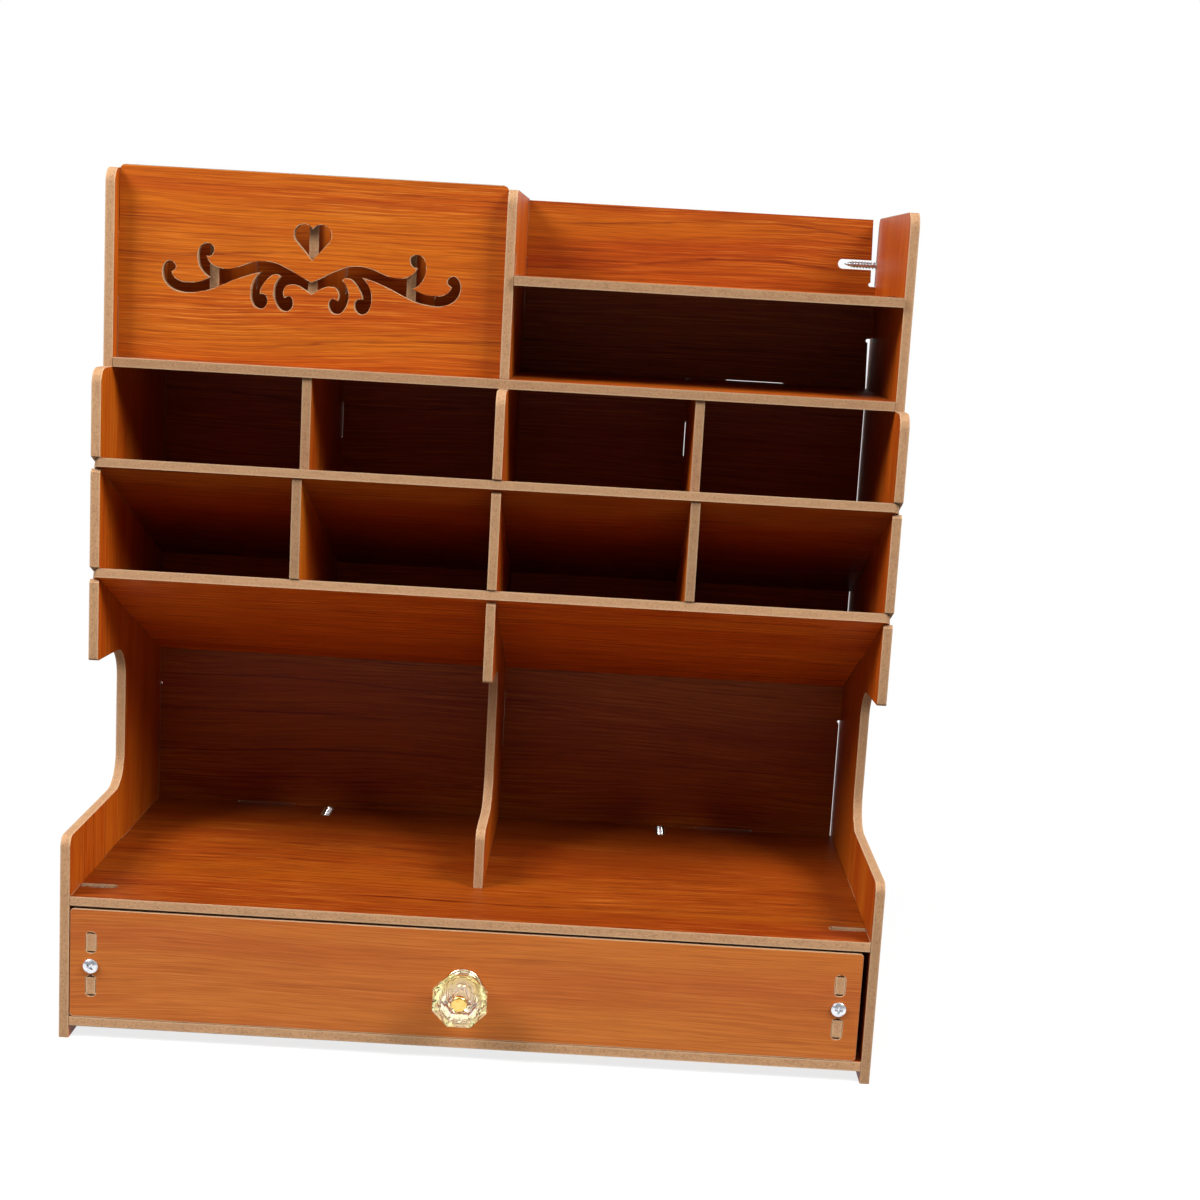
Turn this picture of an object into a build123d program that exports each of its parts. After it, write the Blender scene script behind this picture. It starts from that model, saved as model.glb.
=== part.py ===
from build123d import *
import os
from math import cos, hypot, radians, sin, sqrt

# Desk organiser of thin laminated fibreboard, put together with tabs, slots and pointed screws.
# Millimetres, +Z up, the front faces -Y. While the pieces are built, y is 0 at the front face
# and grows to the rear. At export all is moved back, so that the origin is on the desk, under
# the middle of the whole, from the knob's cap to the screw heads on the back.

# Boards and fits
BOARD = 3.6                # thickness of every panel
FIT = 0.15                 # gap on each side of a tab or a lap joint
OVERCUT = 1.0              # a cutting shape passes the face that it opens by this much
REAR_FIT = 0.35            # the same, for the tabs of all but the centre panel in the back panel
END_ROOM = 0.8             # gap at each end of a tab
ROUTER_RADIUS = 1.6        # round corners that the router leaves in a tab's slot
TAB_LENGTH = 24.6          # tabs of the big boards, along the edge
SHORT_TAB = 14.8           # tabs of the small dividers

# Carcass
WIDTH = 306.0              # over the side panels
DEPTH = 140.6              # front of the base to the rear of the back panel
FOOT_GAP = 4.9             # desk to the underside of the base board
BAY_HEIGHT = 43.5          # drawer bay, base board to lower floor
OPEN_TIER = 115.0          # lower floor to the front of the lower sloped shelf
SLOPE_PITCH = 42.2         # lower sloped shelf to the upper one, at the front
CARD_TIER = 36.7           # front of the upper sloped shelf to the underside of the upper floor
TRAY_RISE = 35.5           # upper floor to the underside of the tray floor
TRAY_WALL = 31.9           # tray floor to the top of the side panels
BACK_DROP = 0.6            # the back panel ends this far under the side panels
BACK_SIDE_GAP = 0.4        # open gap between the back panel and each side panel, on average
BACK_SHIFT = -0.25         # the back panel sits a little to the left
BACK_TOP_GAP = 2.7         # the same at the top: it widens above the upper floor
BACK_TAB_LENGTH = 21.8     # side tabs of the back panel
BACK_TAB_RISE = 63.3       # middle of the lower ones, over the lower floor
BACK_TAB_DROP = 39.2       # middle of the upper ones, under the side panels' top
BACK_TAB_RELIEF = 0.8      # radius of the round relief at each end of these tabs

# Stepped front of the side panels
MIDDLE_SETBACK = 35.0      # the sloped tiers, behind the front of the base
TOP_SETBACK = 51.0         # the top tier, behind the front of the base
KNEE_RISE = 22.9           # side panel's shoulder above the lower floor
NOTCH_REACH = 77.0         # rear edge of the notch beside the open tier
TOOTH_DROP = 32.6          # lowest nose of the side panel, under the lower sloped shelf
NOTCH_SLANT = 2.3          # fall of the nose's underside to the rear
KNEE_RADIUS = 4.0
NOTCH_RADIUS = 13.0
NOSE_RADIUS = 6.0
TIP_RADIUS = 1.2
CENTRE_FOOT_SETBACK = 37.0 # foot of the centre panel, behind the front of the base

# Sloped shelves
SLOPE_ANGLE = 25.0         # degrees, the rear is lower
LAP_DEPTH = 59.0           # lap joint, measured along the slope from the front edge
SLOPE_END_INSET = 1.2      # shelf ends, inside the outer faces of the side panels
SLOPE_NOSE = 0.8           # the shelves reach out this far in front of the side panels
SLOPE_CORNER = 1.6         # cut corner at each end of the front edge
LIP_REACH = 1.6            # cut corner under the mouth of a lap slot, to the rear
LIP_DROP = 1.8             # the same, downwards
FLOOR_NOSE = 0.5           # the upper floor reaches out this far in front of the top tier
TRAY_NOSE = 1.5            # and the tray floor this far

# Dividers
CARD_DIVIDER_X = 75.2      # middle of the left and right dividers under the upper floor
LOWER_TAB_RISE = 7.0       # rear tab of these dividers, above the upper shelf's front edge
PEN_COLUMNS = 4            # columns for pens behind the ornament
PEN_DIVIDER_DROP = 3.0     # they end this far under the top of the side panels
PEN_TAB_FROM_FRONT = 20.0  # floor tab of a pen divider, behind its front edge

# Ornament panel
ORNAMENT_SETBACK = 6.3     # behind the front of the top tier
ORNAMENT_RISE = 1.4        # the ornament panel ends this far over the top of the side panels
ORNAMENT_CORNER = 2.2
HEART_BASE = 40.3          # tip of the heart above the panel's lower edge
HEART_RISE = 9.7           # tip of the heart to the middle of its lobes
HEART_LOBE = 3.9           # radius of a lobe
HEART_SPREAD = 3.25        # middle of a lobe from the middle line
HEART_CLEFT = 1.6          # bottom of the cleft above the middle of the lobes

# Outline of the scroll, right half, from corner to corner: place from the middle line and height
# over the lower edge of the panel
SCROLL_RUNS = [
    [(0.0, 27.7), (2.2, 29.1), (4.5, 30.4), (7.0, 31.0), (9.5, 30.4), (10.7, 28.2), (10.1, 25.7)],
    [(10.1, 25.7), (7.6, 26.1), (6.9, 23.4), (8.4, 21.1), (11.1, 21.0), (13.1, 23.1), (14.1, 25.7),
     (14.3, 28.6), (13.5, 31.3), (11.7, 33.6)],
    [(11.7, 33.6), (14.0, 34.5), (16.2, 33.3), (17.8, 31.4), (19.1, 29.3), (19.7, 26.8)],
    [(19.7, 26.8), (17.1, 25.9), (16.9, 23.1), (18.9, 21.2), (21.6, 22.1), (22.8, 24.6),
     (23.1, 27.5), (22.6, 30.3), (21.3, 32.9), (19.2, 35.0)],
    [(19.2, 35.0), (22.2, 34.3), (25.1, 33.3), (28.0, 32.2), (30.7, 31.0), (33.5, 29.6),
     (36.3, 28.4), (39.1, 27.3), (42.1, 26.5), (45.1, 26.0), (48.1, 25.8), (51.1, 26.2),
     (53.9, 27.5), (56.0, 29.7), (56.9, 32.6), (56.4, 35.6), (54.2, 37.4), (52.0, 35.9),
     (53.5, 33.4)],
    [(53.5, 33.4), (52.1, 31.0), (49.6, 29.8), (46.7, 29.6), (43.9, 29.8), (41.2, 30.7),
     (38.8, 32.0)],
    [(38.8, 32.0), (41.0, 33.5), (42.6, 35.7), (43.4, 38.3), (43.4, 41.1), (42.4, 43.6),
     (40.0, 44.7), (37.7, 43.6), (37.8, 41.0), (40.2, 40.0)],
    [(40.2, 40.0), (38.2, 37.0), (34.8, 35.6), (31.2, 35.6), (27.6, 36.5), (24.2, 37.9),
     (20.6, 38.9), (17.0, 39.1), (13.3, 38.5), (9.9, 37.1), (6.6, 35.5), (3.4, 33.7), (0.0, 32.2)],
]

# Screws and their slots
SCREW_LENGTH = 17.4        # under the head
THREAD_RADIUS = 1.55
CORE_RADIUS = 1.15
THREAD_PITCH = 1.3
THREAD_RISE = 0.45         # share of the pitch up to the crest
THREAD_CREST = 0.15        # share of the pitch along the crest
PLAIN_SHANK = 1.2          # no thread right under the head
TIP_LENGTH = 3.2
TIP_RADIUS_LEFT = 0.15     # radius left at the point
HEAD_RADIUS = 2.8
HEAD_HEIGHT = 1.7
HEAD_DOME = 0.94           # height of the domed part of the head
RECESS_WIDTH = 0.75
RECESS_DEPTH = 1.0
RECESS_REACH = 1.7
HOLE_PLAY = 0.2            # gap between a thread and its hole
SLOT_SPARE = 0.2           # gap between a screw's tip and the round end of its slot
SLOT_PLAY = 0.45           # gap between a thread and each side of its slot
FRONT_SCREW_Y = 14.0       # side screws of the base board and of the lower floor
FRONT_TAB_Y = 62.0         # middle of the side tabs of the base board and of the lower floor
UPPER_TAB_Y = 84.0         # middle of the side tabs of the upper boards
REAR_SCREW_OFFSET = 28.0   # side screws of the upper boards, behind the middle of their tabs
REAR_TAB_X = 101.3         # middle of the rear tabs of the wide boards
REAR_SCREW_X = 73.2        # rear screws of the wide boards
LOW_SCREW_RISE = 21.5      # screws from the side panels into the back panel: over the base board
TOP_SCREW_DROP = 19.4      # and under the top of the side panels
CENTRE_SCREW_RISE = 134.4  # screw through the back panel into the centre panel, over the lower floor
CENTRE_TAB_RISE = 44.4     # middle of the centre panel's lower rear tab, over the lower floor
TOP_TAB_DROP = 36.1        # middle of all upright tabs beside the pens, under the side panels' top
CENTRE_FOOT_TAB_Y = 90.0

# Drawer
DRAWER_SIDE_GAP = 1.3      # play on each side, were the drawer in the middle
DRAWER_SHIFT = -1.0        # it stands a little to the left
DRAWER_LIFT = 0.3          # running gap over the base board
DRAWER_TOP_GAP = 1.0       # drawer front to the lower floor
DRAWER_FRONT_CORNER = 1.5
DRAWER_REAR_GAP = 5.0      # drawer to the back panel, with the drawer shut
DRAWER_SIDE_INSET = 6.1    # drawer side from the end of the drawer front
DRAWER_SIDE_DROP = 4.05    # drawer sides end this far under the top of the drawer front
DRAWER_TAB = 6.6
DRAWER_TAB_RISE = 8.2      # middle of the upper tab over the middle of the drawer front
DRAWER_TAB_DROP = 8.8      # and of the lower tab under it
DRAWER_SCREW_DROP = 0.9    # the front screws under the middle of the drawer front
BACK_INSET = 3.6           # drawer back from the rear ends of the drawer sides
FLOOR_TAB_FRONT = 34.0     # tabs of the drawer sides down through the drawer bottom
FLOOR_TAB_REAR = 98.0

# Knob
KNOB_SHIFT = -0.6          # the knob stands a little to the left of the middle
KNOB_DROP = 0.8            # and this far under it
KNOB_GIRDLE = 10.0         # half the width across flats at the widest place
KNOB_BACK = 5.6
KNOB_FACE = 6.6
KNOB_GIRDLE_AT = 11.2      # from the rosette to the widest place
KNOB_BAND = 1.2            # length of the widest place
KNOB_LENGTH = 13.6
ROSETTE_RADIUS = 7.3
ROSETTE_HEIGHT = 2.6
ROSETTE_RIM = 0.7          # height of its outer edge
ROSETTE_SHOULDER_INSET = 1.6   # its curve goes through a point this far inside the edge
ROSETTE_SHOULDER_DROP = 0.47   # and this far under the flat face
ROSETTE_SEAT = 5.0         # radius of its flat face, which carries the knob
POST_RADIUS = 2.4
POST_BORE_DEPTH = 10.0
POST_FIT = 0.05            # gap between the post and the knob around it
CAP_RADIUS = 2.95
CAP_HEIGHT = 1.3
CAP_ROUND = 0.78
KNOB_SCREW_RADIUS = 1.6
KNOB_SCREW_PLAY = 0.15     # gap between this screw and its holes
KNOB_SCREW_HEAD = 3.2
KNOB_SCREW_ROUND = 0.8
KNOB_SCREW_SPARE = 1.0     # its end stays this far from the end of the post's bore

# Places worked out from the sizes above
INNER = WIDTH / 2 - BOARD
BACK_Y = DEPTH - BOARD
BASE_Z = FOOT_GAP
LOWER_Z = BASE_Z + BOARD + BAY_HEIGHT
LOWER_SHELF_Z = LOWER_Z + BOARD + OPEN_TIER
UPPER_SHELF_Z = LOWER_SHELF_Z + SLOPE_PITCH
UPPER_Z = UPPER_SHELF_Z + CARD_TIER
TRAY_Z = UPPER_Z + BOARD + TRAY_RISE
TOP_Z = TRAY_Z + BOARD + TRAY_WALL
KNEE_Z = LOWER_Z + BOARD + KNEE_RISE
NOTCH_Z = LOWER_SHELF_Z - TOOTH_DROP
HOLE_RADIUS = THREAD_RADIUS + HOLE_PLAY
SLOT_WIDTH = 2 * (THREAD_RADIUS + SLOT_PLAY)
SLOT_DEPTH = SCREW_LENGTH - BOARD + SLOT_SPARE
CENTRE_SCREW_Z = LOWER_Z + BOARD + CENTRE_SCREW_RISE
CENTRE_TAB_Z = LOWER_Z + BOARD + CENTRE_TAB_RISE
TOP_TAB_Z = TOP_Z - TOP_TAB_DROP
ORNAMENT_Y = TOP_SETBACK + ORNAMENT_SETBACK
ORNAMENT_Z = UPPER_Z + BOARD
ORNAMENT_HEIGHT = TOP_Z + ORNAMENT_RISE - ORNAMENT_Z
BAY_MIDDLE = -(INNER + BOARD / 2) / 2
SHELF_FRONT_Y = MIDDLE_SETBACK - SLOPE_NOSE
TILT = radians(SLOPE_ANGLE)
FALL = sin(TILT) / cos(TILT)

parts = {}
STANDING = (Align.CENTER, Align.CENTER, Align.MIN)
HANGING = (Align.CENTER, Align.CENTER, Align.MAX)


def block(x0, x1, y0, y1, z0, z1):
    """A box between two corners."""
    return Pos((x0 + x1) / 2, (y0 + y1) / 2, (z0 + z1) / 2) * Box(x1 - x0, y1 - y0, z1 - z0)


def rounded(face, corners):
    """Round some corners of a face; each corner is given as (place, place, radius)."""
    for across, up, radius in corners:
        nearest = min(face.vertices(), key=lambda v: hypot(v.X - across, v.Y - up))
        face = fillet(nearest, radius)
    return face


def upright(face, x0):
    """Stand a face, drawn as (y, z), in the YZ plane and give it the board's thickness."""
    return extrude(Plane.YZ.offset(x0) * face, BOARD)


def fronted(face, y0):
    """Stand a face, drawn as (x, z), in the XZ plane, thick to the rear from y0."""
    return extrude(Plane(origin=(0, y0, 0), x_dir=(1, 0, 0), z_dir=(0, -1, 0)) * face, -BOARD)


def cross_recess():
    """The cross in a screw's head, half of its height above the origin."""
    bar = Box(2 * RECESS_REACH, RECESS_WIDTH, 2 * RECESS_DEPTH)
    return bar + Rot(0, 0, 90) * bar


# Screw joints: the screw goes through an outer board into an open slot of an inner board

def screw_shape():
    """One screw on the X axis, its head's underside at x = -BOARD and its tip pointing to +X."""
    start = -BOARD
    end = start + SCREW_LENGTH
    outline = [(start, 0), (start, CORE_RADIUS), (start + PLAIN_SHANK, CORE_RADIUS)]
    turns = int((SCREW_LENGTH - TIP_LENGTH - PLAIN_SHANK) / THREAD_PITCH)
    for turn in range(turns):
        foot = start + PLAIN_SHANK + turn * THREAD_PITCH
        outline.append((foot + THREAD_PITCH * THREAD_RISE, THREAD_RADIUS))
        outline.append((foot + THREAD_PITCH * (THREAD_RISE + THREAD_CREST), THREAD_RADIUS))
        outline.append((foot + THREAD_PITCH, CORE_RADIUS))
    outline += [(end, TIP_RADIUS_LEFT), (end, 0)]
    shank = revolve(make_face(Polyline(*outline, close=True)), Axis.X)
    dome = (HEAD_RADIUS ** 2 + HEAD_DOME ** 2) / (2 * HEAD_DOME)
    head = Cylinder(HEAD_RADIUS, HEAD_HEIGHT, align=STANDING)
    head &= Pos(0, 0, HEAD_HEIGHT - dome) * Sphere(dome)
    head -= Pos(0, 0, HEAD_HEIGHT) * cross_recess()
    return shank + Pos(start, 0, 0) * Rot(0, -90, 0) * head


SCREW = screw_shape()
SCREW_HOLE = Pos(-BOARD / 2, 0, 0) * Rot(0, 90, 0) * Cylinder(HOLE_RADIUS, BOARD + 2 * OVERCUT)
slot_straight = SLOT_DEPTH - SLOT_WIDTH / 2
SCREW_SLOT = Box(slot_straight + 2 * OVERCUT, SLOT_WIDTH, 3 * BOARD)
SCREW_SLOT = Pos(slot_straight / 2 - OVERCUT, 0, 0) * SCREW_SLOT
SCREW_SLOT += Pos(slot_straight, 0, 0) * Cylinder(SLOT_WIDTH / 2, 3 * BOARD)


def screw_joint(group, outer, inner, place, direction, thin, setback=0.0):
    """Add a screw at place, cut its hole in the outer board and its slot in the inner one."""
    axis = Vector(*direction)
    frame = Plane(origin=place, x_dir=direction, z_dir=thin)
    edge = Plane(origin=Vector(*place) + axis * setback, x_dir=direction, z_dir=thin)
    parts.setdefault(group, []).append(frame * SCREW)
    parts[outer] -= frame * SCREW_HOLE
    parts[inner] -= edge * SCREW_SLOT


def tab_joint(outer, inner, tab, axis):
    """Add a tab to the inner board and cut its slot, a little larger, in the outer board."""
    parts[inner] += block(*tab)
    middle = [(tab[2 * i] + tab[2 * i + 1]) / 2 for i in range(3)]
    size = [tab[2 * i + 1] - tab[2 * i] for i in range(3)]
    across = [i for i in range(3) if i != axis]
    across.sort(key=lambda i: size[i])
    size[across[0]] += 2 * (REAR_FIT if outer == "back_panel" and inner != "centre_panel" else FIT)
    size[across[1]] += 2 * END_ROOM
    size[axis] += 4 * OVERCUT
    corner = min(ROUTER_RADIUS, 0.45 * size[across[0]])
    slot = fillet(Box(*size).edges().filter_by((Axis.X, Axis.Y, Axis.Z)[axis]), corner)
    parts[outer] -= Pos(*middle) * slot


# Sloped shelves: their plane runs through the lower front edge and falls to the rear

def slope_plane(front_z):
    """The underside of a sloped shelf."""
    return Plane((0, SHELF_FRONT_Y, front_z), x_dir=(1, 0, 0), z_dir=(0, sin(TILT), cos(TILT)))


def slope_top(front_z, y):
    """Height of a sloped shelf's upper face at y."""
    return front_z + BOARD / cos(TILT) - (y - SHELF_FRONT_Y) * FALL


def slope_lap(front_z):
    """The open slot that an upright board needs to take the front half of a sloped shelf."""
    over = BOARD
    slot = Box(WIDTH + 2 * over, LAP_DEPTH + FIT + over, BOARD + 2 * FIT)
    return slope_plane(front_z) * Pos(0, (LAP_DEPTH + FIT - over) / 2, BOARD / 2) * slot


def sloped_shelf(front_z, crossings):
    """A sloped shelf: wide in front, narrower behind the laps, slotted at each crossing board."""
    reach = (BACK_Y - FIT - BOARD * sin(TILT) - SHELF_FRONT_Y) / cos(TILT)
    wide = WIDTH / 2 - SLOPE_END_INSET
    narrow = INNER - FIT
    outline = [(-wide + SLOPE_CORNER, 0), (wide - SLOPE_CORNER, 0), (wide, SLOPE_CORNER),
               (wide, LAP_DEPTH), (narrow, LAP_DEPTH), (narrow, reach), (-narrow, reach),
               (-narrow, LAP_DEPTH), (-wide, LAP_DEPTH), (-wide, SLOPE_CORNER)]
    face = make_face(Polyline(*outline, close=True))
    for x in crossings:
        slot = Rectangle(BOARD + 2 * FIT, reach - LAP_DEPTH + 2 * OVERCUT)
        face -= Pos(x, (LAP_DEPTH + reach) / 2 + OVERCUT) * slot
    return slope_plane(front_z) * extrude(face, BOARD)


# Upright boards with the stepped front

def stepped_panel(foot_y, bottom_z):
    """The outline that the side panels and the centre panel share, as a face in (y, z)."""
    roof = NOTCH_Z - NOTCH_SLANT
    outline = [(foot_y, bottom_z), (foot_y, KNEE_Z), (NOTCH_REACH, KNEE_Z), (NOTCH_REACH, roof),
               (MIDDLE_SETBACK, NOTCH_Z), (MIDDLE_SETBACK, UPPER_Z), (TOP_SETBACK, UPPER_Z),
               (TOP_SETBACK, TOP_Z), (DEPTH, TOP_Z), (DEPTH, bottom_z)]
    face = make_face(Polyline(*outline, close=True))
    return rounded(face, [(foot_y, KNEE_Z, KNEE_RADIUS), (NOTCH_REACH, KNEE_Z, NOTCH_RADIUS),
                          (NOTCH_REACH, roof, NOTCH_RADIUS), (MIDDLE_SETBACK, NOTCH_Z, TIP_RADIUS),
                          (MIDDLE_SETBACK, UPPER_Z, NOSE_RADIUS), (TOP_SETBACK, TOP_Z, NOSE_RADIUS),
                          (DEPTH, TOP_Z, KNEE_RADIUS)])


def lap_lips(panel, x0):
    """Cut both lap slots into an upright board and round the lips under their mouths."""
    for front_z in (LOWER_SHELF_Z, UPPER_SHELF_Z):
        panel -= slope_lap(front_z)
        lip = front_z - SLOPE_NOSE * FALL - FIT / cos(TILT)
        outside = MIDDLE_SETBACK - OVERCUT
        inside = MIDDLE_SETBACK + LIP_REACH
        corner = Polyline((outside, lip + OVERCUT), (outside, lip - LIP_DROP),
                          (MIDDLE_SETBACK, lip - LIP_DROP), (inside, lip), (inside, lip + OVERCUT),
                          close=True)
        panel -= extrude(Plane.YZ.offset(x0 - OVERCUT) * make_face(corner), BOARD + 2 * OVERCUT)
    return panel


for name, x0 in (("side_panel_left", -WIDTH / 2), ("side_panel_right", INNER)):
    parts[name] = lap_lips(upright(stepped_panel(0, 0), x0), x0)

# Centre panel: stands on the lower floor; the upper floor laps it from the front
centre_front = -BOARD / 2
centre = stepped_panel(CENTRE_FOOT_SETBACK, LOWER_Z + BOARD)
centre -= Pos(BACK_Y - FIT + DEPTH / 2, TOP_Z / 2) * Rectangle(DEPTH, 2 * TOP_Z)
parts["centre_panel"] = lap_lips(upright(centre, centre_front), centre_front)
lap_y = (TOP_SETBACK + BACK_Y) / 2
parts["centre_panel"] -= block(-BOARD, BOARD, 0, lap_y + FIT, UPPER_Z - FIT, UPPER_Z + BOARD + FIT)

# Back panel, between the side panels with an open gap on each side and two tabs through each
back_top_z = TOP_Z - BACK_DROP


def back_edge(z, way):
    """Place of the back panel's left (-1) or right (1) edge at a height."""
    share = max(0, z - UPPER_Z) / (back_top_z - UPPER_Z)
    gap = BACK_SIDE_GAP + share * (BACK_TOP_GAP - BACK_SIDE_GAP)
    return way * (INNER - gap) + BACK_SHIFT


levels = (BASE_Z, UPPER_Z, back_top_z)
corners = [(back_edge(z, 1), z) for z in levels] + [(back_edge(z, -1), z) for z in levels[::-1]]
parts["back_panel"] = fronted(make_face(Polyline(*corners, close=True)), BACK_Y)
for side, way in (("left", -1), ("right", 1)):
    for tab_z in (LOWER_Z + BOARD + BACK_TAB_RISE, TOP_Z - BACK_TAB_DROP):
        low_z, high_z = tab_z - BACK_TAB_LENGTH / 2, tab_z + BACK_TAB_LENGTH / 2
        ends = sorted((way * WIDTH / 2, way * (INNER - 2 * BACK_TOP_GAP)))
        parts["back_panel"] += block(*ends, BACK_Y, DEPTH, low_z, high_z)
        for z in (low_z - BACK_TAB_RELIEF, high_z + BACK_TAB_RELIEF):
            relief = Rot(90, 0, 0) * Cylinder(BACK_TAB_RELIEF, 3 * BOARD)
            parts["back_panel"] -= Pos(back_edge(z, way), DEPTH, z) * relief
        ends = sorted((way * (WIDTH / 2 + OVERCUT), way * (INNER - OVERCUT)))
        parts["side_panel_" + side] -= block(*ends, BACK_Y - FIT, DEPTH + OVERCUT,
                                             low_z - FIT, high_z + FIT)

# Level boards
board_half = INNER - FIT
board_rear = BACK_Y - FIT
parts["base_board"] = block(-board_half, board_half, 0, board_rear, BASE_Z, BASE_Z + BOARD)
parts["lower_floor"] = block(-board_half, board_half, 0, board_rear, LOWER_Z, LOWER_Z + BOARD)
floor_front = TOP_SETBACK - FLOOR_NOSE
parts["upper_floor"] = block(-board_half, board_half, floor_front, board_rear, UPPER_Z, UPPER_Z + BOARD)
parts["upper_floor"] -= block(-BOARD / 2 - FIT, BOARD / 2 + FIT, lap_y, DEPTH,
                              UPPER_Z - OVERCUT, UPPER_Z + BOARD + OVERCUT)
tray_left = BOARD / 2 + FIT
tray_front = TOP_SETBACK - TRAY_NOSE
parts["tray_floor"] = block(tray_left, board_half, tray_front, board_rear, TRAY_Z, TRAY_Z + BOARD)

# Sloped shelves
dividers = (-CARD_DIVIDER_X, CARD_DIVIDER_X)
parts["sloped_shelf_lower"] = sloped_shelf(LOWER_SHELF_Z, (0,))
parts["sloped_shelf_upper"] = sloped_shelf(UPPER_SHELF_Z, (-CARD_DIVIDER_X, 0, CARD_DIVIDER_X))

# Two dividers under the upper floor, lapped by the upper sloped shelf, standing on the lower one
top_front = TOP_SETBACK + FLOOR_NOSE
foot_front = slope_top(LOWER_SHELF_Z, MIDDLE_SETBACK) + FIT
foot_rear = slope_top(LOWER_SHELF_Z, board_rear) + FIT
divider_face = make_face(Polyline(
    (MIDDLE_SETBACK, foot_front), (MIDDLE_SETBACK, UPPER_SHELF_Z), (top_front, UPPER_SHELF_Z),
    (top_front, UPPER_Z - FIT), (board_rear, UPPER_Z - FIT), (board_rear, foot_rear), close=True))
for name, x in zip(("card_divider_left", "card_divider_right"), dividers):
    parts[name] = upright(divider_face, x - BOARD / 2) - slope_lap(UPPER_SHELF_Z)
    tab_z = UPPER_SHELF_Z + LOWER_TAB_RISE
    tab_joint("back_panel", name,
              (x - BOARD / 2, x + BOARD / 2, BACK_Y - BOARD, DEPTH, tab_z, tab_z + SHORT_TAB), 1)

# Ornament panel with the heart and the scroll cut through


def heart_face():
    """A heart, its tip at the origin."""
    reach = hypot(HEART_SPREAD, HEART_RISE)
    side = sqrt(reach ** 2 - HEART_LOBE ** 2)
    cos_a = side / reach
    sin_a = HEART_LOBE / reach
    u = (HEART_SPREAD * cos_a + HEART_RISE * sin_a) * cos_a
    v = (HEART_RISE * cos_a - HEART_SPREAD * sin_a) * cos_a
    face = make_face(Polyline((0, 0), (u, v), (HEART_SPREAD, HEART_RISE), (0, HEART_RISE + HEART_CLEFT),
                              (-HEART_SPREAD, HEART_RISE), (-u, v), close=True))
    for way in (-1, 1):
        face += Pos(way * HEART_SPREAD, HEART_RISE) * Circle(HEART_LOBE)
    return face


def scroll_face():
    """Both halves of the scroll, drawn from the lower point to the cleft of the middle."""
    edges = [Spline(*run) for run in SCROLL_RUNS]
    return make_face(edges + [mirror(edge, Plane.YZ) for edge in edges])


ornament_left = -INNER + FIT
ornament_right = -BOARD / 2 - FIT
ornament = Rectangle(ornament_right - ornament_left, ORNAMENT_HEIGHT)
ornament = Pos(BAY_MIDDLE, ORNAMENT_HEIGHT / 2) * ornament
ornament = rounded(ornament, [(ornament_left, ORNAMENT_HEIGHT, ORNAMENT_CORNER),
                              (ornament_right, ORNAMENT_HEIGHT, ORNAMENT_CORNER)])
ornament -= Pos(BAY_MIDDLE, HEART_BASE) * heart_face()
ornament -= Pos(BAY_MIDDLE, 0) * scroll_face()
parts["ornament_panel"] = fronted(Pos(0, ORNAMENT_Z) * ornament, ORNAMENT_Y)

# Pen dividers behind the ornament, evenly spaced
pen_front = ORNAMENT_Y + BOARD + FIT
column = (INNER - BOARD / 2 - (PEN_COLUMNS - 1) * BOARD) / PEN_COLUMNS
for i in range(PEN_COLUMNS - 1):
    name = "pen_divider_" + str(i + 1)
    x = -INNER + (i + 1) * column + i * BOARD
    parts[name] = block(x, x + BOARD, pen_front, board_rear, ORNAMENT_Z, TOP_Z - PEN_DIVIDER_DROP)
    tab_y = pen_front + PEN_TAB_FROM_FRONT
    tab_joint("upper_floor", name,
              (x, x + BOARD, tab_y, tab_y + SHORT_TAB, UPPER_Z, ORNAMENT_Z + BOARD), 2)
    low_z = TOP_TAB_Z - SHORT_TAB / 2
    tab_joint("back_panel", name, (x, x + BOARD, BACK_Y - BOARD, DEPTH, low_z, low_z + SHORT_TAB), 1)

# Tabs at the ends of the level boards and of the ornament panel
half_tab = TAB_LENGTH / 2
for name, y, z in (("base_board", FRONT_TAB_Y, BASE_Z), ("lower_floor", FRONT_TAB_Y, LOWER_Z),
                   ("upper_floor", UPPER_TAB_Y, UPPER_Z)):
    across = (y - half_tab, y + half_tab, z, z + BOARD)
    tab_joint("side_panel_left", name, (-WIDTH / 2, -INNER + BOARD) + across, 0)
    tab_joint("side_panel_right", name, (INNER - BOARD, WIDTH / 2) + across, 0)
tray_tab = (UPPER_TAB_Y - half_tab, UPPER_TAB_Y + half_tab, TRAY_Z, TRAY_Z + BOARD)
tab_joint("side_panel_right", "tray_floor", (INNER - BOARD, WIDTH / 2) + tray_tab, 0)
tab_joint("centre_panel", "tray_floor", (-BOARD / 2, BOARD * 1.5) + tray_tab, 0)
panel_tab = (ORNAMENT_Y, ORNAMENT_Y + BOARD, TOP_TAB_Z - half_tab, TOP_TAB_Z + half_tab)
tab_joint("side_panel_left", "ornament_panel", (-WIDTH / 2, -INNER + BOARD) + panel_tab, 0)
tab_joint("centre_panel", "ornament_panel", (-BOARD * 1.5, BOARD / 2) + panel_tab, 0)

# Rear tabs and rear screws of the wide boards
for name, z in (("base_board", BASE_Z), ("lower_floor", LOWER_Z), ("upper_floor", UPPER_Z)):
    for way in (-1, 1):
        x = way * REAR_TAB_X
        tab_joint("back_panel", name,
                  (x - half_tab, x + half_tab, BACK_Y - BOARD, DEPTH, z, z + BOARD), 1)
        screw_joint("back_screws", "back_panel", name, (way * REAR_SCREW_X, BACK_Y, z + BOARD / 2),
                    (0, -1, 0), (0, 0, 1), FIT)

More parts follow.
